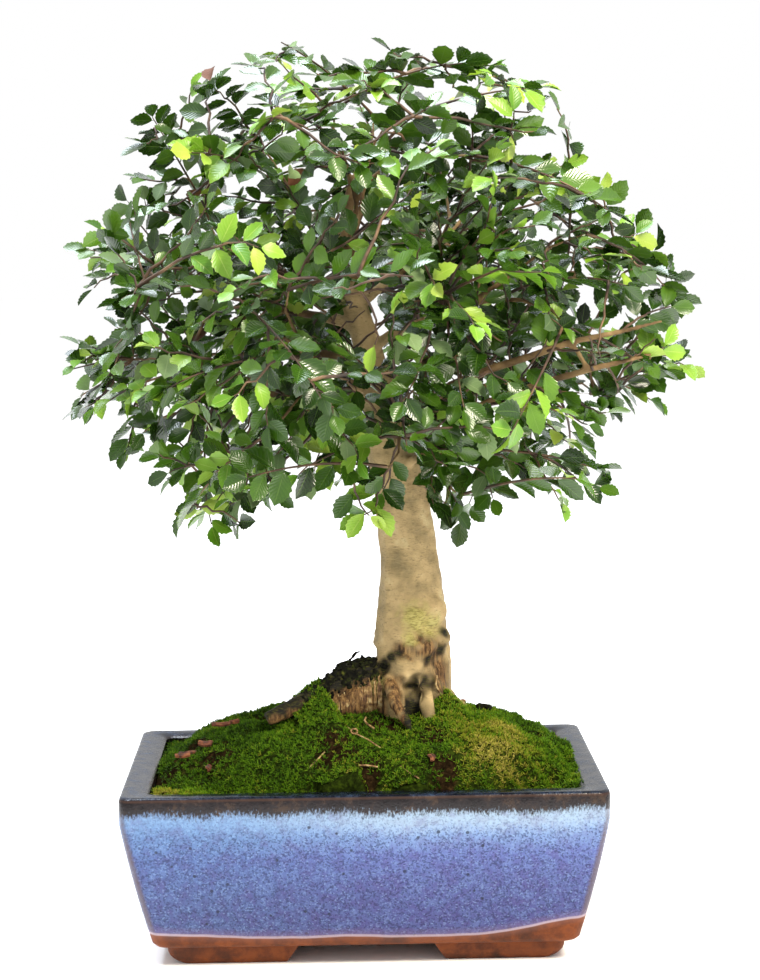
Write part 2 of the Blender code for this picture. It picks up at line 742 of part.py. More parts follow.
def make_tree_and_sprays():
    trunk_path = [Vector(row[:3]) for row in TRUNK]
    trunk_rings = tube_rings(trunk_path, [row[3] for row in TRUNK], TRUNK_SIDES, TRUNK_LOBES)
    crown = grow_crown(random.Random(SEED), trunk_rings, trunk_path)
    solids = [loft(rings) for rings in crown["rings"]]
    for azimuth, length, start_radius, end_radius in ROOTS:
        shares = [(1 - k / ROOT_SPANS) ** ROOT_TAPER for k in range(ROOT_SPANS + 1)]
        radii = [end_radius + (start_radius - end_radius) * share for share in shares]
        path = root_path(math.radians(azimuth), length, radii)
        solids.append(loft(tube_rings(path, radii, ROOT_SIDES)))
    for height, azimuth, radius in BURRS:
        solids.append(make_burr(height, math.radians(azimuth), radius))
    tree = add_object("tree", loft(trunk_rings), bark)
    join_solids(tree, solids)
    smooth_shade(tree)
    for number, blade in enumerate(crown["blades"], 1):
        colour = young_leaf if number % YOUNG_EVERY == 0 else mature_leaf
        add_object(f"spray_{number:02d}", blade, colour)


def join_solids(part, meshes):
    """Fuse a part with many solids by one Boolean union, applied."""
    pieces = bpy.data.collections.new("wood_pieces")
    bpy.context.scene.collection.children.link(pieces)
    for number, mesh in enumerate(meshes):
        bmesh.ops.recalc_face_normals(mesh, faces=mesh.faces)
        piece = add_object(f"wood_{number}", mesh)
        bpy.context.scene.collection.objects.unlink(piece)
        pieces.objects.link(piece)
    union = part.modifiers.new("union", "BOOLEAN")
    union.operation = "UNION"
    union.operand_type = "COLLECTION"
    union.collection = pieces
    union.solver = "EXACT"
    joined = bpy.data.meshes.new_from_object(part.evaluated_get(bpy.context.evaluated_depsgraph_get()))
    part.modifiers.remove(union)
    part.data = joined
    for piece in list(pieces.objects):
        bpy.data.objects.remove(piece)
    bpy.data.collections.remove(pieces)


def centre_on_origin():
    """Move the bonsai so that its bounding box is centred over the origin."""
    graph = bpy.context.evaluated_depsgraph_get()
    corners = []
    for part in bpy.context.scene.objects:
        if part.type == "MESH" and not part.hide_render:
            corners += [Vector(corner) for corner in part.evaluated_get(graph).bound_box]
    middle_x = (min(c.x for c in corners) + max(c.x for c in corners)) / 2
    middle_y = (min(c.y for c in corners) + max(c.y for c in corners)) / 2
    bonsai.location = (-middle_x, -middle_y, 0)


for leftover in list(bpy.data.objects):
    bpy.data.objects.remove(leftover)
bonsai = bpy.data.objects.new("bonsai", None)
bpy.context.scene.collection.objects.link(bonsai)

glaze = make_material("glazed stoneware", (0.16, 0.20, 0.45), 0.25)
plastic = make_material("black plastic mesh", (0.02, 0.02, 0.02), 0.5)
earth = make_material("potting soil", (0.05, 0.03, 0.02), 0.95)
moss_green = make_material("moss", (0.12, 0.20, 0.03), 0.9)
bark = make_material("elm bark", (0.42, 0.32, 0.20), 0.8)
mature_leaf = make_material("mature elm leaf", (0.03, 0.12, 0.02), 0.35)
young_leaf = make_material("young elm leaf", (0.22, 0.42, 0.04), 0.4)

make_pot()
for name, side in (("drain_screen_left", -1), ("drain_screen_right", 1)):
    make_screen(name, side * DRAIN_SPACING / 2)
make_soil()
make_moss()
make_tree_and_sprays()
centre_on_origin()
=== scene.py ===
"""Chinese elm bonsai in its glazed pot: the pieces that are seen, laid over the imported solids."""

import math
import random

import bmesh
import bpy
from mathutils import Matrix, Vector, noise
from mathutils.bvhtree import BVHTree
from mathutils.kdtree import KDTree


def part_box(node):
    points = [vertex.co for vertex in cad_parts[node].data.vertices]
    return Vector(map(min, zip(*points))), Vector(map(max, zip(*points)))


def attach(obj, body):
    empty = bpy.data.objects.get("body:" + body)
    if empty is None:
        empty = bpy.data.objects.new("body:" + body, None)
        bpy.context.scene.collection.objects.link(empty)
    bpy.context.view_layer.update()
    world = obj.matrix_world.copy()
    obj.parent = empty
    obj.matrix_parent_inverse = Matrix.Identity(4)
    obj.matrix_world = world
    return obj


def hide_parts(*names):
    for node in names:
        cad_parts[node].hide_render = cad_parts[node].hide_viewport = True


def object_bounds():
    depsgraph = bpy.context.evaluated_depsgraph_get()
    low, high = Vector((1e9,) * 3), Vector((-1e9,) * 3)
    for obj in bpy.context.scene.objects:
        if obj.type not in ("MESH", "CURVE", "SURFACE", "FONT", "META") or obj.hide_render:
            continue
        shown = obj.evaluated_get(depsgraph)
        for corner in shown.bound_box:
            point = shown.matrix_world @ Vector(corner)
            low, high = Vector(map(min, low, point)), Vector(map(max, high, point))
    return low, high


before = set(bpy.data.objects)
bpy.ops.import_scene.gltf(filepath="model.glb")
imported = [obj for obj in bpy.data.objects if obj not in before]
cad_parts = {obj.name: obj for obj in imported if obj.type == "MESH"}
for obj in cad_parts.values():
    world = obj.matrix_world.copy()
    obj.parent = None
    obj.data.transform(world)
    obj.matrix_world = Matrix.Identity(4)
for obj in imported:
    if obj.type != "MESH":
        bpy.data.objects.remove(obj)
cad_box = [list(corner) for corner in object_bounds()]
scene = bpy.context.scene

# Studio: a pale floor, a white room and two large soft lights. The camera stands where the
# photograph was taken from, found from the pot's rim and foot.
pot_low, pot_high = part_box("pot")
CENTRE = Vector(((pot_low.x + pot_high.x) / 2, (pot_low.y + pot_high.y) / 2, 0))
FOCAL_PIXELS = 2477
PHOTO_HEIGHT = 980
CAMERA_PLACE = Vector((-0.0129, -1.263, 0.3615))
CAMERA_YAW = math.radians(1.07)
CAMERA_PITCH = math.radians(6.01)
CAMERA_ROLL = math.radians(-0.71)


def linear(code):
    """An sRGB hex colour as linear red, green, blue and alpha."""
    channels = [int(code[i : i + 2], 16) / 255 for i in (1, 3, 5)]
    return (*[c / 12.92 if c <= 0.04045 else ((c + 0.055) / 1.055) ** 2.4 for c in channels], 1.0)


def new_material(name, colour, roughness, **settings):
    """A Principled material: colour as hex, and the shader's own sockets by name."""
    material = bpy.data.materials.new(name)
    material.use_nodes = True
    shader = material.node_tree.nodes["Principled BSDF"]
    shader.inputs["Base Color"].default_value = linear(colour)
    shader.inputs["Roughness"].default_value = roughness
    for socket, value in settings.items():
        shader.inputs[socket.replace("_", " ")].default_value = value
    return material


def add_object(name, mesh, *materials):
    """Turn a bmesh into an object of the scene, with its materials."""
    data = bpy.data.meshes.new(name)
    mesh.to_mesh(data)
    mesh.free()
    for material in materials:
        data.materials.append(material)
    piece = bpy.data.objects.new(name, data)
    scene.collection.objects.link(piece)
    return piece


camera_data = bpy.data.cameras.new("camera")
camera_data.sensor_width = 36
camera_data.lens = 36 * FOCAL_PIXELS / PHOTO_HEIGHT
camera = bpy.data.objects.new("camera", camera_data)
scene.collection.objects.link(camera)
scene.camera = camera
forward = Vector((math.sin(CAMERA_YAW), math.cos(CAMERA_YAW), -math.tan(CAMERA_PITCH))).normalized()
level_right = Vector((math.cos(CAMERA_YAW), -math.sin(CAMERA_YAW), 0))
level_up = level_right.cross(forward)
camera_right = level_right * math.cos(CAMERA_ROLL) + level_up * math.sin(CAMERA_ROLL)
camera_up = level_up * math.cos(CAMERA_ROLL) - level_right * math.sin(CAMERA_ROLL)
turned = Matrix((camera_right, camera_up, -forward)).transposed().to_4x4()
camera.matrix_world = Matrix.Translation(CENTRE + CAMERA_PLACE) @ turned

floor_mesh = bmesh.new()
bmesh.ops.create_grid(floor_mesh, x_segments=1, y_segments=1, size=12)
floor_white = new_material("matt white floor", "#ffffff", 1.0, Specular_IOR_Level=0.0)
floor = add_object("floor", floor_mesh, floor_white)

scene.view_settings.view_transform = "Standard"
world = bpy.data.worlds.new("white room")
world.use_nodes = True
world.node_tree.nodes["Background"].inputs["Color"].default_value = (1.0, 1.0, 1.0, 1.0)
world.node_tree.nodes["Background"].inputs["Strength"].default_value = 1.0
scene.world = world
for name, place, size, power, colour in (
    ("key light", (0.9, -1.0, 1.5), 0.6, 62, "#fff4e0"),
    ("top light", (-0.3, 0.3, 1.7), 1.1, 60, "#eaf2ff"),
):
    lamp_data = bpy.data.lights.new(name, "AREA")
    lamp_data.shape = "DISK"
    lamp_data.size = size
    lamp_data.energy = power
    lamp_data.color = linear(colour)[:3]
    lamp = bpy.data.objects.new(name, lamp_data)
    lamp.location = place
    lamp.rotation_euler = (Vector(place) - Vector((0, 0, 0.25))).to_track_quat("Z", "Y").to_euler()
    scene.collection.objects.link(lamp)

# Pot: one piece of stoneware, thrown in a mould, with a broad flat rim and four corner feet. A
# blue rutile glaze runs down from a dark rim and stops above the bare clay foot.
POT_WIDTH = 0.240
POT_DEPTH = 0.168
POT_HEIGHT = 0.0885
END_LEAN = 0.015
SIDE_LEAN = 0.012
RIM_BAND = 0.014
RIM_TOP = 0.014
RIM_SLOPE = 0.001
RIM_CORNER = 0.006
WALL = 0.010
WALL_BOW = 0.25
FLOOR_TOP = 0.019
FOOT_HEIGHT = 0.010
FOOT_INSET = 0.006
FOOT_ROUNDING = (0.0060, 0.0036)
FOOT_WIDTH = 0.016
NOTCH_TOP = 0.0094
FRONT_NOTCH = 0.067
END_NOTCH = 0.044
NOTCH_SLANT = 0.007
DRAIN_RADIUS = 0.008
DRAIN_SPACING = 0.110
CORNER_STEPS = 7


def pot_ring(z, inset_x, inset_y, corner=RIM_CORNER):
    """A level rectangle with round corners, as far inside the rim's edge as the insets say."""
    half_x = POT_WIDTH / 2 - inset_x - corner
    half_y = POT_DEPTH / 2 - inset_y - corner
    points = []
    for quarter, (side_x, side_y) in enumerate(((1, 1), (-1, 1), (-1, -1), (1, -1))):
        for step in range(CORNER_STEPS):
            angle = math.pi / 2 * (quarter + step / (CORNER_STEPS - 1))
            x = side_x * half_x + corner * math.cos(angle)
            y = side_y * half_y + corner * math.sin(angle)
            points.append(CENTRE + Vector((x, y, z)))
    return points


def loft(rings):
    """A closed skin through rings of equal point counts, bridged one to the next."""
    mesh = bmesh.new()
    loops = []
    for ring in rings:
        verts = [mesh.verts.new(point) for point in ring]
        loops.append([mesh.edges.new(pair) for pair in zip(verts, verts[1:] + verts[:1])])
    for lower, upper in zip(loops, loops[1:]):
        bmesh.ops.bridge_loops(mesh, edges=lower + upper)
    bmesh.ops.edgeloop_fill(mesh, edges=loops[0])
    bmesh.ops.edgeloop_fill(mesh, edges=loops[-1])
    bmesh.ops.recalc_face_normals(mesh, faces=mesh.faces)
    return mesh


def wall_inset(z):
    """How far the outer wall stands in from the rim at a height, at the ends and at the sides."""
    band_foot = POT_HEIGHT - RIM_BAND
    share = min(1.0, max(0.0, (band_foot - z) / (band_foot - FOOT_HEIGHT)))
    share = share * (1 - WALL_BOW) + share * share * WALL_BOW
    return END_LEAN * share, SIDE_LEAN * share


def apply_modifier(piece, kind, **settings):
    """Run one modifier on a piece and keep what it makes as the piece's mesh."""
    modifier = piece.modifiers.new("shaping", kind)
    for name, value in settings.items():
        setattr(modifier, name, value)
    graph = bpy.context.evaluated_depsgraph_get()
    piece.data = bpy.data.meshes.new_from_object(piece.evaluated_get(graph))
    piece.modifiers.clear()


def cut_out(piece, cutter_mesh):
    """Cut a solid out of a piece, and drop the cutter."""
    bmesh.ops.recalc_face_normals(cutter_mesh, faces=cutter_mesh.faces)
    cutter = add_object("cutter", cutter_mesh)
    apply_modifier(piece, "BOOLEAN", operation="DIFFERENCE", solver="EXACT", object=cutter)
    bpy.data.objects.remove(cutter)


def notch(width, length, turned):
    """A bar with slanted sides, for the gap between two feet."""
    mesh = bmesh.new()
    bmesh.ops.create_cube(mesh, size=1.0)
    for vert in mesh.verts:
        flare = NOTCH_SLANT * 2 if vert.co.z < 0 else 0.0
        vert.co.x *= width + flare
        vert.co.y *= length
        vert.co.z = -0.001 if vert.co.z < 0 else NOTCH_TOP
    if turned:
        bmesh.ops.rotate(mesh, verts=mesh.verts, matrix=Matrix.Rotation(math.pi / 2, 3, "Z"))
    bmesh.ops.translate(mesh, verts=mesh.verts, vec=CENTRE)
    return mesh


foot_x = END_LEAN + FOOT_INSET
foot_y = SIDE_LEAN + FOOT_INSET
pot_rings = []
for z in (0.0, 0.0006, 0.0014, 0.0026, 0.0042, 0.0062, FOOT_HEIGHT - 0.0002):
    rounding = (1 - z / FOOT_HEIGHT) ** 3
    pot_rings.append(pot_ring(z, foot_x + FOOT_ROUNDING[0] * rounding, foot_y + FOOT_ROUNDING[1] * rounding))
for rise, inset in ((0.0, 0.0028), (0.0008, 0.0010)):
    pot_rings.append(pot_ring(FOOT_HEIGHT + rise, END_LEAN + inset, SIDE_LEAN + inset))
for k in range(9):
    z = FOOT_HEIGHT + 0.0026 + (POT_HEIGHT - RIM_BAND - FOOT_HEIGHT - 0.0026) * k / 8
    pot_rings.append(pot_ring(z, *wall_inset(z)))
for drop, inset in ((0.0075, 0.0), (0.0022, 0.0), (0.0008, 0.0004), (0.0002, 0.0012), (0.0, 0.0022)):
    pot_rings.append(pot_ring(POT_HEIGHT - drop, inset, inset))
for rise, inset, corner in ((0.0002, RIM_TOP - 0.0016, 0.005), (-0.0010, RIM_TOP, 0.004)):
    pot_rings.append(pot_ring(POT_HEIGHT - RIM_SLOPE + rise, inset, inset, corner))
for z in (POT_HEIGHT - RIM_BAND, 0.040, FLOOR_TOP):
    inset_x, inset_y = wall_inset(z)
    pot_rings.append(pot_ring(z, max(inset_x + WALL, RIM_TOP), max(inset_y + WALL, RIM_TOP), 0.004))
pot = add_object("pot_body", loft(pot_rings))
recess = bmesh.new()
bmesh.ops.create_cube(recess, size=1.0)
recess_x = POT_WIDTH - 2 * (foot_x + FOOT_WIDTH)
recess_y = POT_DEPTH - 2 * (foot_y + FOOT_WIDTH)
bmesh.ops.scale(recess, verts=recess.verts, vec=(recess_x, recess_y, 2 * NOTCH_TOP))
bmesh.ops.translate(recess, verts=recess.verts, vec=CENTRE)
cut_out(pot, recess)
cut_out(pot, notch(FRONT_NOTCH, POT_DEPTH, False))
cut_out(pot, notch(END_NOTCH, POT_WIDTH, True))
for side in (-1, 1):
    drain = bmesh.new()
    bmesh.ops.create_cone(
        drain, cap_ends=True, segments=32, radius1=DRAIN_RADIUS, radius2=DRAIN_RADIUS, depth=0.05
    )
    bmesh.ops.translate(drain, verts=drain.verts, vec=CENTRE + Vector((side * DRAIN_SPACING / 2, 0, 0.01)))
    cut_out(pot, drain)
pot.data.shade_smooth()
pot.data.set_sharp_from_angle(angle=math.radians(38))


def add_node(material, kind, settings=None, links=None):
    """One shader node with its settings, and links from other nodes' outputs to its inputs.

    A ramp's settings hold its "stops", and a range's its "ends": from low, high, to low, high.
    """
    node = material.node_tree.nodes.new("ShaderNode" + kind)
    for name, value in (settings or {}).items():
        if name == "stops":
            ramp = node.color_ramp
            while len(ramp.elements) < len(value):
                ramp.elements.new(1.0)
            for element, (place, colour) in zip(ramp.elements, value):
                element.position = place
                element.color = linear(colour)
        elif name == "ends":
            for socket, end in enumerate(value, 1):
                node.inputs[socket].default_value = end
        elif isinstance(name, int) or name in node.inputs:
            node.inputs[name].default_value = value
        else:
            setattr(node, name, value)
    for name, output in (links or {}).items():
        material.node_tree.links.new(output, node.inputs[name])
    return node


def per_mm(size):
    """A texture's scale for a pattern of this size in millimetres, on coordinates in metres."""
    return 1000.0 / size


def add_nodes(material, rows, attributes=(), made=None):
    """Nodes in turn, linked to earlier ones by name: name, kind, settings, links.

    What bears the name colour, gloss or bumps in the end feeds the material's shader.
    """
    made = made or {"place": add_node(material, "TexCoord").outputs["Object"]}
    for name in attributes:
        made[name] = add_node(material, "Attribute", {"attribute_name": name}).outputs["Fac"]
    for name, kind, settings, links in rows:
        node = add_node(material, kind, settings, {socket: made[source] for socket, source in links.items()})
        made[name] = node.outputs[2 if settings.get("data_type") == "RGBA" else 0]
    shader = material.node_tree.nodes["Principled BSDF"]
    for socket, source in (("Base Color", "colour"), ("Roughness", "gloss"), ("Normal", "bumps")):
        if source in made:
            material.node_tree.links.new(made[source], shader.inputs[socket])


def grain_rows(settings, stops=None, bump=None):
    """Rows for a noise that colours through a ramp, and bumps with a strength and a distance."""
    rows = [("grain", "TexNoise", settings, {0: "place"})]
    if stops:
        rows.append(("colour", "ValToRGB", {"stops": stops}, {0: "grain"}))
    if bump:
        rows.append(("bumps", "Bump", {"Strength": bump[0], "Distance": bump[1]}, {"Height": "grain"}))
    return rows


ADD, MULTIPLY, MAXIMUM = ({"operation": kind} for kind in ("ADD", "MULTIPLY", "MAXIMUM"))
COLOUR = {"data_type": "RGBA"}
SMOOTH = {"interpolation_type": "SMOOTHSTEP"}

# Stoneware under a rutile glaze, fired once: glossy and blue-black on the rim's top, brown where it breaks
# over the edges, pale in a grainy band under the rim and paler towards the right, speckled violet-blue below.
glaze = new_material("rutile glazed stoneware", "#4a5488", 0.2, Specular_IOR_Level=0.22)
place = add_node(glaze, "TexCoord").outputs["Object"]
from_middle = add_node(glaze, "VectorMath", {"operation": "SUBTRACT", 1: CENTRE}, {0: place}).outputs[0]
xyz = add_node(glaze, "SeparateXYZ", links={0: from_middle}).outputs
made = {"x": xyz["X"], "y": xyz["Y"], "z": xyz["Z"]}
# Each grain of the glaze is a cell of its own, 0.75 mm across, with its own random lightness. Pits 1.4 to 2
# mm across stand 9 mm apart.
cells = add_node(glaze, "TexVoronoi", {"Scale": per_mm(0.75)}, {"Vector": place}).outputs["Color"]
made["cell"] = add_node(glaze, "SeparateColor", links={0: cells}).outputs["Red"]
made["pit"] = add_node(glaze, "TexVoronoi", {"Scale": per_mm(9)}, {"Vector": place}).outputs["Distance"]
# Noises: size in millimetres, detail, how far they are drawn out downwards
for name, size, detail, stretch in (
    ("broad", 42, 2.0, 1.0),
    ("mottle", 6, 4.0, 1.0),
    ("drips", 1.0, 3.0, 2.2),
    ("grain", 0.9, 1.0, 1.0),
    ("clay grain", 14, 6.0, 1.0),
):
    drawn = add_node(glaze, "Mapping", {"Scale": (1, 1, 1 / stretch)}, {"Vector": place}).outputs[0]
    settings = {"Scale": per_mm(size), "Detail": detail, "Roughness": 0.65}
    made[name] = add_node(glaze, "TexNoise", settings, {"Vector": drawn}).outputs["Fac"]
LEFT_BLUES = (
    (0.0, "#363f69"), (0.35, "#394774"), (0.62, "#3f5383"),
    (0.74, "#4a6791"), (0.84, "#5d7ca1"), (0.9, "#617b9b"),
)
RIGHT_BLUES = (
    (0.0, "#393c6f"), (0.40, "#40477b"), (0.62, "#4b578e"),
    (0.74, "#647ca6"), (0.83, "#8499ae"), (0.9, "#8499aa"),
)
RIM_BLACKS = ((0.45, "#070a12"), (0.62, "#0c111e"), (0.78, "#1b2538"), (0.92, "#364860"))
EDGE_LINE = ((0.20, "#000000"), (0.36, "#cccccc"), (0.62, "#cccccc"), (0.80, "#000000"))
add_nodes(glaze, (
    # The level on the wall, shifted 1.5 mm by broad waves, then 2.4 mm by the fine drips
    ("to right", "MapRange", {"ends": (-0.085, 0.030, 0, 1), **SMOOTH}, {0: "x"}),
    ("wave", "MapRange", {"ends": (0.3, 0.7, -0.0015, 0.0015)}, {0: "broad"}),
    ("fine wave", "MapRange", {"ends": (0.3, 0.7, -0.0024, 0.0024)}, {0: "drips"}),
    ("waved", "Math", ADD, {0: "z", 1: "wave"}),
    ("ragged", "Math", ADD, {0: "waved", 1: "fine wave"}),
    ("level", "MapRange", {"ends": (0.010, 0.0885, 0, 1)}, {0: "ragged"}),
    ("left blue", "ValToRGB", {"stops": LEFT_BLUES}, {0: "level"}),
    ("right blue", "ValToRGB", {"stops": RIGHT_BLUES}, {0: "level"}),
    ("blue", "Mix", COLOUR, {0: "to right", 6: "left blue", 7: "right blue"}),
    ("pale share", "MapRange", {"ends": (0.42, 0.72, 0, 0.26)}, {0: "mottle"}),
    ("blue", "Mix", {**COLOUR, 7: linear("#6880aa")}, {0: "pale share", 6: "blue"}),
    ("violet share", "MapRange", {"ends": (0.56, 0.34, 0, 0.40)}, {0: "mottle"}),
    ("blue", "Mix", {**COLOUR, 7: linear("#4a3f6e")}, {0: "violet share", 6: "blue"}),
    # Dark grains, fewer in the whitest part of the band, pale ones, and pits
    ("in band", "MapRange", {"ends": (0.70, 0.84, 1, 0.45), **SMOOTH}, {0: "level"}),
    ("dark cell", "MapRange", {"ends": (0.46, 0.12, 0, 0.66)}, {0: "cell"}),
    ("dark share", "Math", MULTIPLY, {0: "dark cell", 1: "in band"}),
    ("blue", "Mix", {**COLOUR, 7: linear("#1a2242")}, {0: "dark share", 6: "blue"}),
    ("pale cell", "MapRange", {"ends": (0.84, 0.98, 0, 0.24)}, {0: "cell"}),
    ("blue", "Mix", {**COLOUR, 7: linear("#7f9abe")}, {0: "pale cell", 6: "blue"}),
    ("pit share", "MapRange", {"ends": (0.075, 0.115, 0.8, 0)}, {0: "pit"}),
    ("blue", "Mix", {**COLOUR, 7: linear("#161b2a")}, {0: "pit share", 6: "blue"}),
    # The upright edges, where the glaze runs thin over the brown clay: both distances grow with
    # depth below the rim as the walls lean in
    ("across", "Math", {"operation": "ABSOLUTE"}, {0: "x"}),
    ("along", "Math", {"operation": "ABSOLUTE"}, {0: "y"}),
    ("end lean", "MapRange", {"ends": (POT_HEIGHT - RIM_BAND, FOOT_HEIGHT, 0, END_LEAN)}, {0: "z"}),
    ("side lean", "MapRange", {"ends": (POT_HEIGHT - RIM_BAND, FOOT_HEIGHT, 0, SIDE_LEAN)}, {0: "z"}),
    ("to end", "Math", ADD, {0: "across", 1: "end lean"}),
    ("to side", "Math", ADD, {0: "along", 1: "side lean"}),
    ("near end", "MapRange", {"ends": (POT_WIDTH / 2 - 0.0052, POT_WIDTH / 2 - 0.0008, 0, 1)}, {0: "to end"}),
    ("near side", "MapRange",
     {"ends": (POT_DEPTH / 2 - 0.0052, POT_DEPTH / 2 - 0.0008, 0, 1)}, {0: "to side"}),
    ("edge", "Math", MULTIPLY, {0: "near end", 1: "near side"}),
    ("rough edge", "Math", {"operation": "MULTIPLY_ADD", 1: 0.5}, {0: "drips", 2: "edge"}),
    ("edge share", "MapRange", {"ends": (0.55, 0.95, 0, 0.8)}, {0: "rough edge"}),
    ("walls", "Mix", {**COLOUR, 7: linear("#4c4148")}, {0: "edge share", 6: "blue"}),
    # The rim's brown band, a thin brown line along its outer edge, and its blue-black top
    ("brown", "ValToRGB",
     {"stops": ((0.35, "#131012"), (0.52, "#1c1719"), (0.70, "#35281f"))}, {0: "mottle"}),
    ("band share", "MapRange", {"ends": (0.0782, 0.0812, 0, 1)}, {0: "ragged"}),
    ("walls", "Mix", COLOUR, {0: "band share", 6: "walls", 7: "brown"}),
    ("outside", "Math", MAXIMUM, {0: "near end", 1: "near side"}),
    ("arris height", "MapRange", {"ends": (POT_HEIGHT - 0.0024, POT_HEIGHT - 0.0016, 0, 0.35)}, {0: "z"}),
    ("arris", "Math", MULTIPLY, {0: "outside", 1: "arris height"}),
    ("walls", "Mix", {**COLOUR, 7: linear("#4f382c")}, {0: "arris", 6: "walls"}),
    ("rim mottle", "Math", {"operation": "MULTIPLY_ADD", 1: 0.3}, {0: "drips", 2: "mottle"}),
    ("rim black", "ValToRGB", {"stops": RIM_BLACKS}, {0: "rim mottle"}),
    ("rim share", "MapRange", {"ends": (POT_HEIGHT - 0.0012, POT_HEIGHT - 0.0006, 0, 1)}, {0: "z"}),
    ("walls", "Mix", COLOUR, {0: "rim share", 6: "walls", 7: "rim black"}),
    # Lower edge of the glaze: lowest in the middle of the front, rising to the right corner. Over
    # it a violet shade, and under it bare clay, stained near the edge.
    ("right rise", "MapRange", {"ends": (0.050, 0.118, 0, -0.0095), **SMOOTH}, {0: "x"}),
    ("left rise", "MapRange", {"ends": (-0.030, -0.110, 0, -0.0022), **SMOOTH}, {0: "x"}),
    ("rises", "Math", ADD, {0: "right rise", 1: "left rise"}),
    ("risen", "Math", ADD, {0: "z", 1: "rises"}),
    ("over edge", "Math", {"operation": "MULTIPLY_ADD", 1: 0.003}, {0: "broad", 2: "risen"}),
    ("violet edge", "MapRange", {"ends": (0.0215, 0.0180, 0, 0.45)}, {0: "over edge"}),
    ("walls", "Mix", {**COLOUR, 7: linear("#675674")}, {0: "violet edge", 6: "walls"}),
    ("covered", "MapRange", {"ends": (0.0166, 0.0170, 0, 1)}, {0: "over edge"}),
    ("clay", "ValToRGB",
     {"stops": ((0.30, "#2f180e"), (0.44, "#532812"), (0.58, "#703816"), (0.74, "#5a2c18"))},
     {0: "clay grain"}),
    ("stain", "MapRange", {"ends": (0.0130, 0.0170, 0, 0.45)}, {0: "over edge"}),
    ("clay", "Mix", {**COLOUR, 7: linear("#75524a")}, {0: "stain", 6: "clay"}),
    ("colour", "Mix", COLOUR, {0: "covered", 6: "clay", 7: "walls"}),
    # The glaze thins to a pale line 1 mm wide at its edge
    ("line height", "MapRange", {"ends": (0.0155, 0.0185, 0, 1)}, {0: "over edge"}),
    ("line share", "ValToRGB", {"stops": EDGE_LINE}, {0: "line height"}),
    ("colour", "Mix", {**COLOUR, 7: linear("#aa9aa2")}, {0: "line share", 6: "colour"}),
    ("rim gloss", "MapRange", {"ends": (0.4, 0.7, 0.16, 0.34)}, {0: "mottle"}),
    ("gloss", "Mix", {"data_type": "FLOAT", 2: 0.62}, {0: "covered", 3: "rim gloss"}),
    ("relief", "Math", {"operation": "MULTIPLY_ADD", 1: 0.6}, {0: "grain", 2: "mottle"}),
    ("bumps", "Bump", {"Strength": 0.35, "Distance": 0.0006}, {"Height": "relief"}),
), made=made)
pot.data.materials.append(glaze)
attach(pot, "root")
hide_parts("pot")

# Drainage screens and soil: squares of moulded black plastic mesh under loose, moist potting
# soil. Both are inside the pot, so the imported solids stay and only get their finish.
screen_plastic = new_material("moulded polyethylene mesh", "#1c1c1e", 0.5)
add_nodes(screen_plastic, grain_rows({"Scale": per_mm(1.5)}, bump=(0.2, 0.0002)))
soil_grains = new_material("moist potting soil", "#2c2018", 0.95)
soil_browns = ((0.3, "#150f0b"), (0.55, "#33251b"), (0.75, "#57422f"))
soil_noise = {"Scale": per_mm(3), "Detail": 6.0, "Roughness": 0.7}
add_nodes(soil_grains, grain_rows(soil_noise, soil_browns, (0.9, 0.002)))
for node in ("drain_screen_left", "drain_screen_right"):
    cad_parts[node].data.materials.clear()
    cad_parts[node].data.materials.append(screen_plastic)

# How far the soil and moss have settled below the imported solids, along the pot: x, depth
SETTLED = (
    (-0.106, 0.0002),
    (-0.080, 0.0002),
    (-0.060, 0.0012),
    (0.020, 0.0014),
    (0.042, 0.0006),
    (0.052, 0.0046),
    (0.067, 0.0044),
    (0.076, 0.0062),
    (0.086, 0.0070),
    (0.099, 0.0020),
    (0.106, -0.0010),
)


def between_rows(rows, x):
    """The second value of a table of rows, at a value between the first ones."""
    for (low, first), (high, second) in zip(rows, rows[1:]):
        if x <= high:
            break
    share = min(1.0, max(0.0, (x - low) / (high - low)))
    return first + (second - first) * share


soil = bmesh.new()
soil.from_mesh(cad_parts["soil"].data)
bmesh.ops.remove_doubles(soil, verts=soil.verts, dist=2e-6)
for vert in soil.verts:
    if vert.co.z > POT_HEIGHT / 2:
        vert.co.z -= max(0.0, between_rows(SETTLED, vert.co.x - CENTRE.x))
soil_fill = add_object("soil_fill", soil, soil_grains)
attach(soil_fill, "root")
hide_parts("soil")

# Moss: a living carpet over the soil, in cushions of several kinds with bare, dark places between
# them. Each shoot is a star of fine pointed leaves.
MOSS_HALF = Vector((POT_WIDTH / 2 - RIM_TOP - 0.0006, POT_DEPTH / 2 - RIM_TOP - 0.0006))
MOSS_CELLS = (176, 116)
RIM_MOSS = 0.0035
TUFT_COUNT = 26500
TUFT_GROUPS = 64
SPIKE_LENGTH = 0.0021
SPIKE_RADIUS = 0.00042
SPIKES = 4
TRUNK_X = 0.025
# Roots that the moss grows over: azimuth, where it begins and the root ends, highest moss
ROOTS_FROM_X = 0.022
GROWN_OVER = ((math.radians(197), 0.038, 0.070, 0.137), (math.radians(-36), 0.014, 0.028, 0.1245))
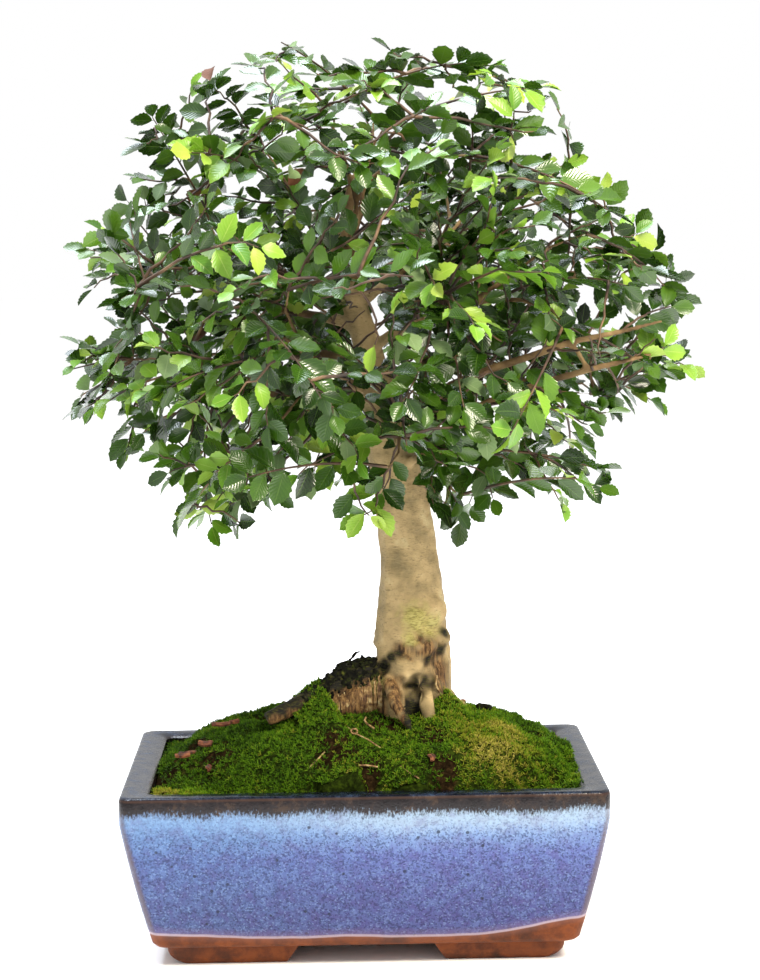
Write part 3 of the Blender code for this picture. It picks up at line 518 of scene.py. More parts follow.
# Patches: x, y, radius, height added, tint (0 dark green to 1 yellow), as seen from the pot's middle
MOSS_PATCHES = (
    (0.066, -0.048, 0.026, 0.0018, 0.97),
    (0.074, -0.026, 0.016, 0.0012, 0.86),
    (0.044, -0.014, 0.020, 0.0016, 0.62),
    (0.098, -0.046, 0.018, 0.0016, 0.56),
    (0.100, -0.010, 0.018, 0.0010, 0.50),
    (0.018, -0.056, 0.018, 0.0012, 0.56),
    (-0.036, -0.046, 0.022, 0.0020, 0.46),
    (-0.096, -0.058, 0.016, 0.0016, 0.78),
    (-0.066, -0.050, 0.016, 0.0010, 0.40),
    (-0.062, -0.014, 0.022, 0.0010, 0.26),
    (0.088, 0.016, 0.024, 0.0012, 0.30),
    (0.020, 0.050, 0.034, 0.0016, 0.44),
    (-0.055, 0.040, 0.032, 0.0016, 0.46),
    (0.085, 0.052, 0.020, 0.0012, 0.56),
)
BARE_PATCHES = (
    (-0.014, -0.052, 0.013),
    (0.002, -0.062, 0.009),
    (-0.074, -0.036, 0.013),
    (-0.100, -0.026, 0.015),
    (-0.088, -0.012, 0.014),
    (-0.052, 0.000, 0.012),
    (0.012, -0.030, 0.015),
    (0.040, -0.064, 0.009),
    (0.034, -0.044, 0.010),
    (0.090, -0.008, 0.010),
    (-0.020, 0.060, 0.014),
    (0.060, 0.034, 0.012),
)


def search_tree(data):
    """A search tree over a mesh's faces."""
    return BVHTree.FromPolygons([v.co for v in data.vertices], [p.vertices for p in data.polygons])


moss_solid = search_tree(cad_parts["moss"].data)
tree_solid = search_tree(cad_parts["tree"].data)


def over_roots(x, y, top):
    """The moss also grows over the outer parts of two roots: its top there, or the height given."""
    for azimuth, begins, ends, highest in GROWN_OVER:
        along = (x - ROOTS_FROM_X) * math.cos(azimuth) + y * math.sin(azimuth)
        across = abs(y * math.cos(azimuth) - (x - ROOTS_FROM_X) * math.sin(azimuth))
        if along < begins:
            continue
        at = min(along, ends)
        above = Vector((ROOTS_FROM_X + at * math.cos(azimuth), at * math.sin(azimuth), highest))
        root = tree_solid.ray_cast(CENTRE + above, Vector((0, 0, -1)))[0]
        if root is not None:
            ridge = root.z + 0.0008 - across * 0.62 - (along - at) * 0.8
            top = max(top, top + (ridge - top) * min(1.0, (along - begins) / 0.007))
    return top


def moss_ground(x, y):
    """Top of the grown moss under a point, from the pot's middle; at the right it laps on the rim."""
    inner_x = POT_WIDTH / 2 - RIM_TOP - 0.0022
    inner_y = POT_DEPTH / 2 - RIM_TOP - 0.0010
    at_x = min(inner_x, max(-inner_x, x))
    at_y = min(inner_y, max(-inner_y, y))
    top = moss_solid.ray_cast(CENTRE + Vector((at_x, at_y, 0.3)), Vector((0, 0, -1)))[0]
    if top is None:
        # Over the trunk's hole, or past the solid's round corner
        top = moss_solid.find_nearest(CENTRE + Vector((at_x, at_y, 0.115 if abs(at_y) < 0.04 else 0.083)))[0]
    top = over_roots(at_x, at_y, top.z - between_rows(SETTLED, at_x))
    if x <= at_x:
        return top
    lapped = min(1.0, (x - inner_x) / (POT_WIDTH / 2 - RIM_TOP + RIM_MOSS - inner_x))
    return POT_HEIGHT + 0.0004 + (top - POT_HEIGHT) * math.sqrt(1 - lapped * lapped)


def bareness(x, y):
    """1 in the middle of a bare place, 0 outside, with a ragged edge."""
    ragged = 0.35 * noise.noise(Vector((x, y, 0)) * per_mm(7))
    most = 0.0
    for centre_x, centre_y, radius in BARE_PATCHES:
        far = math.hypot(x - centre_x, y - centre_y) / radius
        most = max(most, 1.4 - far + ragged)
    return min(1.0, max(0.0, most))


def moss_patch(x, y):
    """Height added and tint of the moss at a point."""
    ragged = 0.4 * noise.noise(Vector((x, y, 3)) * per_mm(9))
    lift = 0.0
    tint = 0.42 + 0.24 * noise.noise(Vector((x, y, 7)) * per_mm(26))
    for centre_x, centre_y, radius, height, patch_tint in MOSS_PATCHES:
        far = math.hypot(x - centre_x, y - centre_y) / radius
        share = min(1.0, max(0.0, 1.25 - far + ragged))
        lift = max(lift, height * share)
        tint += (patch_tint - tint) * share * 0.85
    return lift, tint


def moss_relief(x, y):
    """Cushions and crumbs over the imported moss, sunk at the bare places."""
    lift, _ = moss_patch(x, y)
    cushion = 1 - abs(noise.noise(Vector((x, y, 1)) * per_mm(11))) * 2
    crumb = 1 - abs(noise.noise(Vector((x, y, 5)) * per_mm(3.6))) * 2
    grain = noise.noise(Vector((x, y, 9)) * per_mm(1.4))
    sunk = 0.0020 * bareness(x, y)
    return lift + 0.0010 * cushion + 0.0011 * crumb + 0.0004 * grain - sunk


carpet = bmesh.new()
bmesh.ops.create_grid(carpet, x_segments=MOSS_CELLS[0], y_segments=MOSS_CELLS[1], size=1.0)
tint_layer = carpet.verts.layers.float.new("tint")
for vert in carpet.verts:
    corner = 0.0016 if vert.co.xy.length > 1.38 else 0.0
    x = vert.co.x * (MOSS_HALF.x - corner)
    y = vert.co.y * (MOSS_HALF.y - corner)
    edge = min(1.0, (1 - max(abs(vert.co.x), abs(vert.co.y))) * 14)
    if x > 0:
        x += max(0.0, vert.co.x - 0.8) * 5 * (RIM_MOSS + 0.0015 * noise.noise(Vector((y, 2, 4)) * per_mm(7)))
    vert.co = CENTRE + Vector((x, y, moss_ground(x, y) - 0.0012 + moss_relief(x, y) * edge))
    vert[tint_layer] = moss_patch(x, y)[1] * (1 - bareness(x, y))
skirt = bmesh.ops.extrude_edge_only(carpet, edges=[e for e in carpet.edges if e.is_boundary])
for item in skirt["geom"]:
    if isinstance(item, bmesh.types.BMVert):
        item.co.z -= 0.008
bmesh.ops.recalc_face_normals(carpet, faces=carpet.faces)

# The bed under the tufts is painted near black: partly the dark moss and soil, partly painted shade deep
# between the tufts
moss_bed = new_material("moss bed over soil in painted shade", "#2b3413", 0.95, Specular_IOR_Level=0.0)
add_nodes(moss_bed, (
    ("grain", "TexNoise", {"Scale": per_mm(2.2), "Detail": 4.0, "Roughness": 0.7}, {0: "place"}),
    ("green", "ValToRGB", {"stops": ((0.30, "#0b0d04"), (0.50, "#1b2409"), (0.72, "#33420f"))}, {0: "grain"}),
    ("brown", "ValToRGB", {"stops": ((0.30, "#0a0704"), (0.52, "#1d150b"), (0.74, "#3b2c19"))}, {0: "grain"}),
    ("grown", "MapRange", {"ends": (0.08, 0.28, 0, 1)}, {0: "tint"}),
    ("colour", "Mix", COLOUR, {0: "grown", 6: "brown", 7: "green"}),
    ("bumps", "Bump", {"Strength": 0.8, "Distance": 0.001}, {"Height": "grain"}),
), attributes=("tint",))
moss_carpet = add_object("moss_carpet", carpet, moss_bed)
moss_carpet.data.shade_smooth()
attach(moss_carpet, "root")
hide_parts("moss")


def moss_star(rng):
    """One shoot of moss: fine spikes that lean out all round from one foot."""
    star = bmesh.new()
    tip_layer = star.verts.layers.float.new("tip")
    for k in range(SPIKES):
        lean = math.radians(rng.uniform(18, 78)) if k else 0.1
        length = SPIKE_LENGTH * rng.uniform(0.75, 1.2)
        spike = bmesh.ops.create_cone(
            star, cap_ends=False, segments=3, radius1=SPIKE_RADIUS, radius2=0.0, depth=length
        )["verts"]
        for vert in spike:
            vert[tip_layer] = 1.0 if vert.co.z > 0 else 0.0
        bmesh.ops.translate(star, verts=spike, vec=(0, 0, length / 2))
        turn = Matrix.Rotation(2 * math.pi * (k + rng.uniform(-0.3, 0.3)) / SPIKES, 3, "Z")
        bmesh.ops.rotate(star, verts=spike, matrix=turn @ Matrix.Rotation(lean, 3, "Y"))
    bmesh.ops.remove_doubles(star, verts=star.verts, dist=1e-7)
    data = bpy.data.meshes.new("moss_star")
    star.to_mesh(data)
    star.free()
    return data


def stamp(mesh, pattern, matrix, layers):
    """Add a pattern mesh, moved by a matrix, with a value in each of the given vertex layers."""
    before = len(mesh.verts)
    mesh.from_mesh(pattern)
    mesh.verts.ensure_lookup_table()
    fresh = mesh.verts[before:]
    bmesh.ops.transform(mesh, matrix=matrix, verts=fresh)
    for layer, value in layers:
        for vert in fresh:
            vert[layer] = value
    return fresh


moss_rng = random.Random(5)
stars = [moss_star(moss_rng) for _ in range(6)]
moss_leaf = new_material("living moss leaf", "#6d8f22", 0.55, Specular_IOR_Level=0.08)
MOSS_GREENS = (
    (0.00, "#18240a"), (0.25, "#2c460d"), (0.45, "#456a10"),
    (0.62, "#638a18"), (0.82, "#8f902c"), (1.00, "#b4a850"),
)
add_nodes(moss_leaf, (
    ("green", "ValToRGB", {"stops": MOSS_GREENS}, {0: "tint"}),
    # Painted shade: each leaf is painted dark at its foot, deep in the tuft where shade falls, and bright at
    # its tip
    ("tip share", "MapRange", {"ends": (0.05, 0.85, 0.05, 1.0)}, {0: "tip"}),
    ("colour", "Mix", {**COLOUR, 6: linear("#080c03")}, {0: "tip share", 7: "green"}),
), attributes=("tint", "tip"))
tuft_groups = []
for _ in range(TUFT_GROUPS):
    tufts = bmesh.new()
    tufts.verts.layers.float.new("tint")
    tufts.verts.layers.float.new("tip")
    tuft_groups.append(tufts)
placed = 0
while placed < TUFT_COUNT:
    x = moss_rng.uniform(0.0012 - MOSS_HALF.x, MOSS_HALF.x + RIM_MOSS - 0.0006)
    y = moss_rng.uniform(-1, 1) * (MOSS_HALF.y - 0.0012)
    ground = moss_ground(x, y)
    if moss_rng.random() < 0.80 * bareness(x, y):
        continue
    # Painted shade: darker in the gaps between crumbs 3.6 mm across
    clump = 1 - abs(noise.noise(Vector((x, y, 5)) * per_mm(3.6))) * 2
    tint = moss_patch(x, y)[1] + moss_rng.gauss(0, 0.10) + 0.20 * (clump - 0.45)
    place = CENTRE + Vector((x, y, ground - 0.0014 + moss_relief(x, y)))
    slope = Vector((x - TRUNK_X, y, 0.09)).normalized()
    tilt = Vector((0, 0, 1)).rotation_difference(slope.lerp(Vector((0, 0, 1)), 0.5)).to_matrix().to_4x4()
    turn = Matrix.Rotation(moss_rng.uniform(0, 6.3), 4, "Z")
    matrix = Matrix.Translation(place) @ tilt @ turn @ Matrix.Scale(moss_rng.uniform(0.7, 1.2), 4)
    tufts = tuft_groups[placed % TUFT_GROUPS]
    stamp(tufts, moss_rng.choice(stars), matrix, [(tufts.verts.layers.float["tint"], tint)])
    placed += 1
# Two pieces of mixed tufts, so that neither is too heavy
for half, name in enumerate(("moss_tufts_a", "moss_tufts_b")):
    moss_shoots = bmesh.new()
    moss_shoots.verts.layers.float.new("tint")
    moss_shoots.verts.layers.float.new("tip")
    for tufts in tuft_groups[half::2]:
        joined = bpy.data.meshes.new("tufts")
        tufts.to_mesh(joined)
        tufts.free()
        moss_shoots.from_mesh(joined)
    moss_tufts = add_object(name, moss_shoots, moss_leaf)
    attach(moss_tufts, "root")

# Tree: roots, trunk, limbs and branches grew as one. The bark of this elm stays smooth and pale on
# the trunk, with fine level pores, knobs and scars low down, and brown on the thin wood.
BARK_VOXEL = 0.0010
# Surface roots and the swollen base that the solids only outline: points from the pot's middle, radius
ROOT_FORMS = (
    (((0.014, -0.006, 0.128), (-0.002, -0.011, 0.122), (-0.016, -0.013, 0.1165)), (0.0115, 0.0105, 0.0085)),
    (((0.012, -0.012, 0.136), (0.014, -0.021, 0.131), (0.017, -0.030, 0.122), (0.0235, -0.038, 0.1125)),
     (0.0042, 0.0034, 0.0030, 0.0026)),
    (((0.030, -0.004, 0.146), (0.0385, -0.006, 0.148), (0.0420, -0.005, 0.151)), (0.0080, 0.0062, 0.0035)),
    (((0.036, -0.008, 0.140), (0.0395, -0.012, 0.128), (0.041, -0.014, 0.116)), (0.0050, 0.0048, 0.0060)),
)
# Limbs that show through the gaps on the right: points, radius
LIMBS = (
    (((0.026, -0.018, 0.268), (0.046, -0.040, 0.284), (0.0630, -0.056, 0.2925), (0.0850, -0.058, 0.2995),
      (0.1045, -0.058, 0.3060), (0.1300, -0.052, 0.3105), (0.1500, -0.046, 0.3150)),
     (0.0030, 0.0026, 0.0021, 0.0019, 0.0018, 0.0014, 0.0011)),
    (((0.050, -0.040, 0.270), (0.0740, -0.056, 0.2810), (0.0948, -0.060, 0.2877), (0.1130, -0.060, 0.2925),
      (0.1300, -0.056, 0.2960), (0.1440, -0.050, 0.2990)),
     (0.0022, 0.0019, 0.0018, 0.0017, 0.0014, 0.0011)),
    (((0.1010, -0.058, 0.3050), (0.1060, -0.059, 0.3020), (0.1100, -0.060, 0.2950), (0.1120, -0.060, 0.2920)),
     (0.0015, 0.0014, 0.0014, 0.0016)),
)
# Marks on the trunk's front: place, radius, how far they stand out
TRUNK_MARKS = (
    ((0.0279, -0.0175, 0.1646), 0.0062, 0.0018),
    ((0.0366, -0.0150, 0.1625), 0.0045, 0.0010),
    ((0.0240, -0.0200, 0.1388), 0.0085, 0.0034),
    ((0.0420, -0.0070, 0.1530), 0.0060, 0.0016),
    ((0.0301, -0.0180, 0.1546), 0.0042, -0.0018),
    ((0.0281, -0.0200, 0.1295), 0.0075, -0.0050),
    ((0.0107, -0.0160, 0.1397), 0.0050, -0.0022),
)
# Places grown over with yellow-green algae, black ones of damp moss and of painted shade in the hollows, and
# brown fibrous or scarred ones
ALGAE = (
    ((0.0279, -0.0175, 0.1646), 0.0105),
    ((0.0366, -0.0150, 0.1605), 0.0085),
    ((0.0250, -0.0180, 0.1540), 0.0055),
    ((0.0090, -0.0170, 0.1300), 0.0065),
)
DAMP_AND_HOLLOW_SHADE = (
    ((0.0107, -0.0150, 0.1397), 0.0068),
    ((0.0187, -0.0180, 0.1467), 0.0036),
    ((0.0150, -0.0165, 0.1440), 0.0045),
    ((0.0345, -0.0165, 0.1430), 0.0048),
    ((0.0395, -0.0105, 0.1470), 0.0045),
    ((0.0421, -0.0080, 0.1551), 0.0042),
    ((0.0281, -0.0200, 0.1290), 0.0090),
    ((0.0345, -0.0180, 0.1320), 0.0060),
    ((0.0125, -0.0170, 0.1270), 0.0050),
)
FIBROUS = (
    ((0.0205, -0.0180, 0.1487), 0.0060),
    ((0.0262, -0.0180, 0.1482), 0.0065),
    ((0.0301, -0.0190, 0.1546), 0.0050),
    ((0.0335, -0.0170, 0.1490), 0.0080),
    ((0.0374, -0.0150, 0.1450), 0.0095),
    ((0.0400, -0.0120, 0.1390), 0.0095),
    ((0.0395, -0.0120, 0.1320), 0.0080),
    ((0.0240, -0.0210, 0.1460), 0.0040),
    ((0.0150, -0.0220, 0.1290), 0.0105),
    ((0.0165, -0.0270, 0.1245), 0.0105),
    ((0.0190, -0.0310, 0.1210), 0.0105),
    ((0.0225, -0.0360, 0.1150), 0.0105),
)


def from_centre(points):
    """Points given from the pot's middle, as places in the scene."""
    return [CENTRE + Vector(at) for at in points]


def tubes(lines, sides=0):
    """Tubes along paths, joined in one mesh: each is its points and a radius for each of them."""
    curve = bpy.data.curves.new("tubes", "CURVE")
    curve.dimensions = "3D"
    curve.bevel_depth = 1.0
    curve.bevel_resolution = sides
    curve.use_fill_caps = True
    for path, radii in lines:
        spline = curve.splines.new("POLY")
        spline.points.add(len(path) - 1)
        for knot, point, radius in zip(spline.points, path, radii):
            knot.co = (*point, 1.0)
            knot.radius = radius
    holder = bpy.data.objects.new("tubes", curve)
    scene.collection.objects.link(holder)
    mesh = bpy.data.meshes.new_from_object(holder.evaluated_get(bpy.context.evaluated_depsgraph_get()))
    bpy.data.objects.remove(holder)
    return mesh


def nearness(here, marks, ragged):
    """1 at a mark's middle, 0 outside it, the most of all marks."""
    shares = (1.6 - 1.6 * (here - Vector(at)).length / size + ragged for at, size in marks)
    return max(min(1.0, max(0.0, share)) for share in shares)


wood = bmesh.new()
wood.from_mesh(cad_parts["tree"].data)
bmesh.ops.remove_doubles(wood, verts=wood.verts, dist=2e-6)
wood.from_mesh(tubes([(from_centre(path), radii) for path, radii in ROOT_FORMS + LIMBS], 3))
for path, radii in ROOT_FORMS:
    for at, radius in zip(path, radii):
        bulb = Matrix.Translation(CENTRE + Vector(at))
        bmesh.ops.create_icosphere(wood, subdivisions=2, radius=radius, matrix=bulb)
tree = add_object("tree_wood", wood)
apply_modifier(tree, "REMESH", mode="VOXEL", voxel_size=BARK_VOXEL)
skin = bmesh.new()
skin.from_mesh(tree.data)
for _ in range(3):
    bmesh.ops.smooth_vert(
        skin, verts=skin.verts, factor=0.5, use_axis_x=True, use_axis_y=True, use_axis_z=True
    )
skin.normal_update()
age_layer = skin.verts.layers.float.new("age")
algae_layer = skin.verts.layers.float.new("algae")
damp_and_shade_layer = skin.verts.layers.float.new("damp")
fibre_layer = skin.verts.layers.float.new("fibre")
for vert in skin.verts:
    here = vert.co - CENTRE
    from_axis = math.hypot(here.x - 0.022 + 0.15 * max(0.0, here.z - 0.2), here.y)
    low = min(1.0, max(0.0, (0.24 - here.z) / 0.05))
    age = max(low, min(1.0, max(0.0, (0.022 - from_axis) / 0.008)) * (here.z < 0.335))
    vert[age_layer] = age
    rough = 0.0010 * noise.noise(here * per_mm(16)) + 0.0005 * noise.noise(here * per_mm(5))
    knobby = max(0.0, 1 - abs(here.z - 0.145) / 0.024)
    knobs = knobby * 0.0018 * noise.noise(here * per_mm(9) + Vector((3, 1, 2)))
    if here.z < 0.175:
        ragged = 0.5 * noise.noise(here * per_mm(3.5))
        vert[algae_layer] = nearness(here, ALGAE, ragged)
        # Painted shade: low on the right, in the gap beside the root, the bark is painted black
        foot = min(1.0, max(0.0, (0.1300 - here.z + 0.008 * ragged) / 0.008)) * (here.x > 0.021)
        # The black crust's lower edge falls to the left along the root
        crusted = min(1.0, max(0.0, (here.z - 0.1333 - (here.x - 0.0108) * 0.33 + 0.008 * ragged) / 0.003))
        foot = max(foot, crusted * (here.x < 0.0085) * (here.z < 0.142))
        root = min(1.0, max(0.0, (0.1405 - here.z + 0.006 * ragged) / 0.004))
        root *= min(1.0, max(0.0, (0.0140 - here.x) / 0.003))
        vert[fibre_layer] = max(nearness(here, FIBROUS, ragged), root)
        vert[damp_and_shade_layer] = max(nearness(here, DAMP_AND_HOLLOW_SHADE, ragged), foot)
        for at, size, height in TRUNK_MARKS:
            share = max(0.0, 1 - (here - Vector(at)).length / size)
            rough += height * min(1.0, share * 2.2)
    vert.co += vert.normal * (rough * (0.35 + 0.65 * age) + knobs)
    # The trunk's left edge goes straight down to the root, and the right roots dip under the moss
    edge = 0.0080 + (here.z - 0.139) * 0.04
    if 0.139 < here.z < 0.153 and here.x < edge:
        vert.co.x += (edge - here.x) * min(1.0, (here.z - 0.139) / 0.003, (0.153 - here.z) / 0.006)
    if here.z < 0.137:
        to_right, to_front = (here.x - 0.037) / 0.010, (here.x > 0.0245) * (-0.024 - here.y) / 0.008
        vert.co.z -= 0.013 * min(1.0, max(0.0, to_right, to_front))
skin.to_mesh(tree.data)
skin.free()
tree.data.shade_smooth()

bark = new_material("living elm bark", "#b99f73", 0.75, Specular_IOR_Level=0.2)
add_nodes(bark, (
    ("pore place", "Mapping", {"Scale": (1, 1, 3.2)}, {0: "place"}),
    ("pores", "TexNoise", {"Scale": per_mm(2.6), "Detail": 3.0, "Roughness": 0.65}, {0: "pore place"}),
    ("blotch", "TexNoise", {"Scale": per_mm(17), "Detail": 4.0, "Roughness": 0.6}, {0: "place"}),
    ("trunk", "ValToRGB",
     {"stops": ((0.28, "#6c5f42"), (0.45, "#8d7a55"), (0.58, "#a28c63"), (0.72, "#b3a379"))}, {0: "blotch"}),
    ("pore share", "MapRange", {"ends": (0.55, 0.70, 0, 0.6)}, {0: "pores"}),
    ("trunk", "Mix", {**COLOUR, 7: linear("#574b33")}, {0: "pore share", 6: "trunk"}),
    # Low down: brown fibrous roots, yellow-green algae on the healed stub, and black damp moss, with painted
    # shade in the hollows and low on the right
    ("fibre place", "Mapping", {"Scale": (1, 1, 0.16)}, {0: "place"}),
    ("fibres", "TexNoise", {"Scale": per_mm(1.6), "Detail": 3.0, "Roughness": 0.7}, {0: "fibre place"}),
    ("root", "ValToRGB",
     {"stops": ((0.34, "#1d140b"), (0.46, "#49331c"), (0.58, "#6e5230"), (0.72, "#8b7045"))}, {0: "fibres"}),
    ("low", "Mix", COLOUR, {0: "fibre", 6: "trunk", 7: "root"}),
    ("algae share", "Math", {**MULTIPLY, 1: 0.7}, {0: "algae"}),
    ("green", "ValToRGB", {"stops": ((0.35, "#5a5524"), (0.50, "#8f8a45"), (0.65, "#a9a263"))}, {0: "pores"}),
    ("low", "Mix", COLOUR, {0: "algae share", 6: "low", 7: "green"}),
    ("black", "ValToRGB", {"stops": ((0.38, "#080704"), (0.52, "#1b180a"), (0.66, "#39390f"))}, {0: "pores"}),
    ("low", "Mix", COLOUR, {0: "damp", 6: "low", 7: "black"}),
    ("thin", "ValToRGB", {"stops": ((0.32, "#352716"), (0.50, "#655034"), (0.70, "#937b54"))}, {0: "blotch"}),
    ("colour", "Mix", COLOUR, {0: "age", 6: "thin", 7: "low"}),
    ("relief", "Math", ADD, {0: "pores", 1: "blotch"}),
    ("bumps", "Bump", {"Strength": 0.5, "Distance": 0.0008}, {"Height": "relief"}),
), attributes=("age", "algae", "damp", "fibre"))
tree.data.materials.append(bark)
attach(tree, "root")
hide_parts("tree")

# Crust on the left root: an old root's black, porous remains, mossy, with thin dead twigs standing
# out of it. Under it, fine hair roots hang over the root's front.
CRUST_AXIS = (Vector((0.0120, -0.005, 0.1300)), Vector((-0.0300, -0.011, 0.1165)))
CRUST_LUMPS = 280
CRUST_BOULDERS = ((0.0610, 0.005), (0.0635, 0.006), (0.0658, 0.005))
BOULDER_RADIUS = 0.0022
CRUST_VOXEL = 0.0005
DEAD_TWIGS = (
    ((-0.0325, -0.004, 0.1205), (-0.0240, -0.003, 0.1275), (-0.0120, -0.002, 0.1355)),
    ((-0.0300, -0.008, 0.1190), (-0.0190, -0.008, 0.1275), (-0.0080, -0.006, 0.1330)),
    ((-0.0080, -0.001, 0.1385), (-0.0030, -0.001, 0.1440), (0.0010, 0.000, 0.1455)),
    ((0.0000, -0.001, 0.1430), (0.0030, -0.002, 0.1400), (0.0070, -0.004, 0.1380)),
    ((-0.0130, -0.001, 0.1340), (-0.0120, -0.001, 0.1385), (-0.0070, 0.000, 0.1405)),
    ((-0.0400, -0.006, 0.1170), (-0.0330, -0.005, 0.1215), (-0.0260, -0.003, 0.1240)),
)
crust_rng = random.Random(8)
crust = bmesh.new()
tree_skin = search_tree(tree.data)
for _ in range(CRUST_LUMPS):
    # From the root's front upper side over its top
    axis = CRUST_AXIS[0].lerp(CRUST_AXIS[1], crust_rng.random())
    angle = crust_rng.uniform(0.32, 1.9)
    out = Vector((0, -math.cos(angle), math.sin(angle)))
    at = tree_skin.ray_cast(CENTRE + axis + out * 0.03, -out)[0]
    if at is not None and at.z < 0.1425:
        radius = crust_rng.uniform(0.0006, 0.0017) * (0.5 + 0.5 * math.sin(angle))
        lump = Matrix.Translation(at + out * 0.0003)
        bmesh.ops.create_icosphere(crust, subdivisions=1, radius=radius, matrix=lump)
for x, y in CRUST_BOULDERS:
    lump = Matrix.Translation(CENTRE + Vector((x, y, moss_ground(x, y) + BOULDER_RADIUS)))
    bmesh.ops.create_icosphere(crust, subdivisions=1, radius=BOULDER_RADIUS, matrix=lump)
crust.from_mesh(tubes([(from_centre(path), (0.0008, 0.0007, 0.0004)) for path in DEAD_TWIGS], 1))
root_crust = add_object("root_crust", crust)
apply_modifier(root_crust, "REMESH", mode="VOXEL", voxel_size=CRUST_VOXEL)
crumbled = bmesh.new()
crumbled.from_mesh(root_crust.data)
crumbled.normal_update()
for vert in crumbled.verts:
    vert.co += vert.normal * 0.0007 * noise.noise(vert.co * per_mm(1.8))
crumbled.to_mesh(root_crust.data)
crumbled.free()
root_crust.data.shade_smooth()
charred = new_material("black mossy root crust", "#17160c", 0.9, Specular_IOR_Level=0.1)
crust_blacks = ((0.35, "#050504"), (0.52, "#12120a"), (0.62, "#2b3110"), (0.75, "#565321"))
crust_noise = {"Scale": per_mm(4), "Detail": 4.0, "Roughness": 0.7}
add_nodes(charred, grain_rows(crust_noise, crust_blacks, (0.7, 0.0006)))
root_crust.data.materials.append(charred)
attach(root_crust, "root")

# Loose bits on the moss: orange pine-bark chips, a curled scrap of leaf, straws and hair roots. They
# have fallen there, so they lie on the tufts.
# Chips: x, y, length, width, turn, tilt
CHIPS = (
    (-0.0726, -0.0025, 0.0105, 0.0036, 0.1, 0.15),
    (-0.0660, -0.0060, 0.0050, 0.0024, 0.5, 0.3),
    (-0.0883, -0.0190, 0.0110, 0.0060, 0.35, -0.25),
    (-0.0800, -0.0215, 0.0070, 0.0050, -0.3, 0.3),
    (-0.0917, -0.0260, 0.0075, 0.0040, 0.2, 0.0),
    (-0.0781, -0.0420, 0.0058, 0.0036, 1.4, 1.1),
    (0.1000, 0.0180, 0.0055, 0.0030, 0.5, 0.2),
    (0.0330, -0.0600, 0.0052, 0.0040, 1.2, 1.0),
    (0.0520, 0.0300, 0.0070, 0.0035, 0.8, 0.1),
    (-0.0400, 0.0400, 0.0080, 0.0040, 2.0, 0.1),
)
STRAWS = (
    (((-0.0176, -0.022, 0.1190), (-0.0110, -0.031, 0.1145), (-0.0045, -0.041, 0.1105),
      (0.0020, -0.047, 0.1085), (0.0085, -0.0525, 0.1050)), 0.00042),
    (((-0.0278, -0.059, 0.0965), (-0.0235, -0.056, 0.1000), (-0.0193, -0.052, 0.1035)), 0.00045),
    (((0.0016, -0.0305, 0.1165), (0.0008, -0.0315, 0.1150), (0.0022, -0.034, 0.1135),
      (0.0055, -0.0375, 0.1120)), 0.00055),
    (((-0.0330, -0.0480, 0.1020), (-0.0260, -0.0520, 0.1010), (-0.0180, -0.0545, 0.1010)), 0.00040),
    (((-0.0050, -0.0600, 0.0980), (0.0010, -0.0612, 0.0985), (0.0068, -0.0615, 0.0975)), 0.00050),
    (((0.0180, -0.0620, 0.0980), (0.0225, -0.0650, 0.0950), (0.0270, -0.0665, 0.0925)), 0.00035),
    (((0.0395, -0.0175, 0.1260), (0.0375, -0.0180, 0.1300), (0.0380, -0.0180, 0.1350)), 0.00060),
)
litter_rng = random.Random(12)
chips = bmesh.new()
for x, y, length, width, yaw, tilt in CHIPS:
    chip = bmesh.new()
    bmesh.ops.create_cube(chip, size=1.0)
    bmesh.ops.subdivide_edges(chip, edges=chip.edges, cuts=3, use_grid_fill=True)
    bmesh.ops.scale(chip, verts=chip.verts, vec=(length, width, 0.0011))
    for vert in chip.verts:
        taper = 1 - 0.55 * abs(vert.co.x / length)
        ragged = noise.noise(vert.co * per_mm(2.4) + Vector((x, y, 0)) * 900)
        vert.co.y *= taper + 0.4 * ragged
        vert.co.z += 0.0010 * math.cos(vert.co.y / width * 3) + 0.0006 * ragged
    turn = Matrix.Rotation(yaw, 4, "Z") @ Matrix.Rotation(tilt, 4, "X")
    lying = CENTRE + Vector((x, y, moss_ground(x, y) + moss_relief(x, y) + 0.0012))
    bmesh.ops.transform(chip, matrix=Matrix.Translation(lying) @ turn, verts=chip.verts)
    loose = bpy.data.meshes.new("chip")
    chip.to_mesh(loose)
    chip.free()
    chips.from_mesh(loose)
chip_bark = new_material("weathered pine bark chip", "#7a4522", 0.85)
chip_browns = ((0.35, "#2c140a"), (0.50, "#5a2c15"), (0.68, "#84502c"))
add_nodes(chip_bark, grain_rows({"Scale": per_mm(2.5), "Detail": 4.0}, chip_browns, (0.6, 0.0006)))
bark_chips = add_object("bark_chips", chips, chip_bark)
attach(bark_chips, "root")

straw_lines = [(from_centre(path), [radius] * len(path)) for path, radius in STRAWS]
ring = [Vector((math.cos(k), math.sin(k) * 0.6, math.sin(k) * 0.7)) * 0.0017 for k in range(7)]
straw_lines.append(([CENTRE + Vector((-0.0045, -0.0415, 0.1115)) + at for at in ring], [0.0005] * 7))
for _ in range(70):
    # A hair root hangs from the root's crown over its front
    share = litter_rng.random()
    axis = Vector((0.010, -0.008, 0.1265)).lerp(Vector((-0.017, -0.013, 0.1165)), share)
    reach = 0.0117 - 0.0030 * share
    first = litter_rng.uniform(0.5, 1.1)
    hair = []
    for step in range(6):
        angle = first - step * 0.34
        sway = Vector((litter_rng.gauss(0, 0.0004), 0, 0))
        hair.append(CENTRE + axis + sway + Vector((0, -math.cos(angle), math.sin(angle))) * reach)
    straw_lines.append((hair, [0.00028] * 6))
straw = new_material("dry straw and hair roots", "#8a7448", 0.8)
straw_browns = ((0.38, "#4a3018"), (0.52, "#86693d"), (0.66, "#a8966a"))
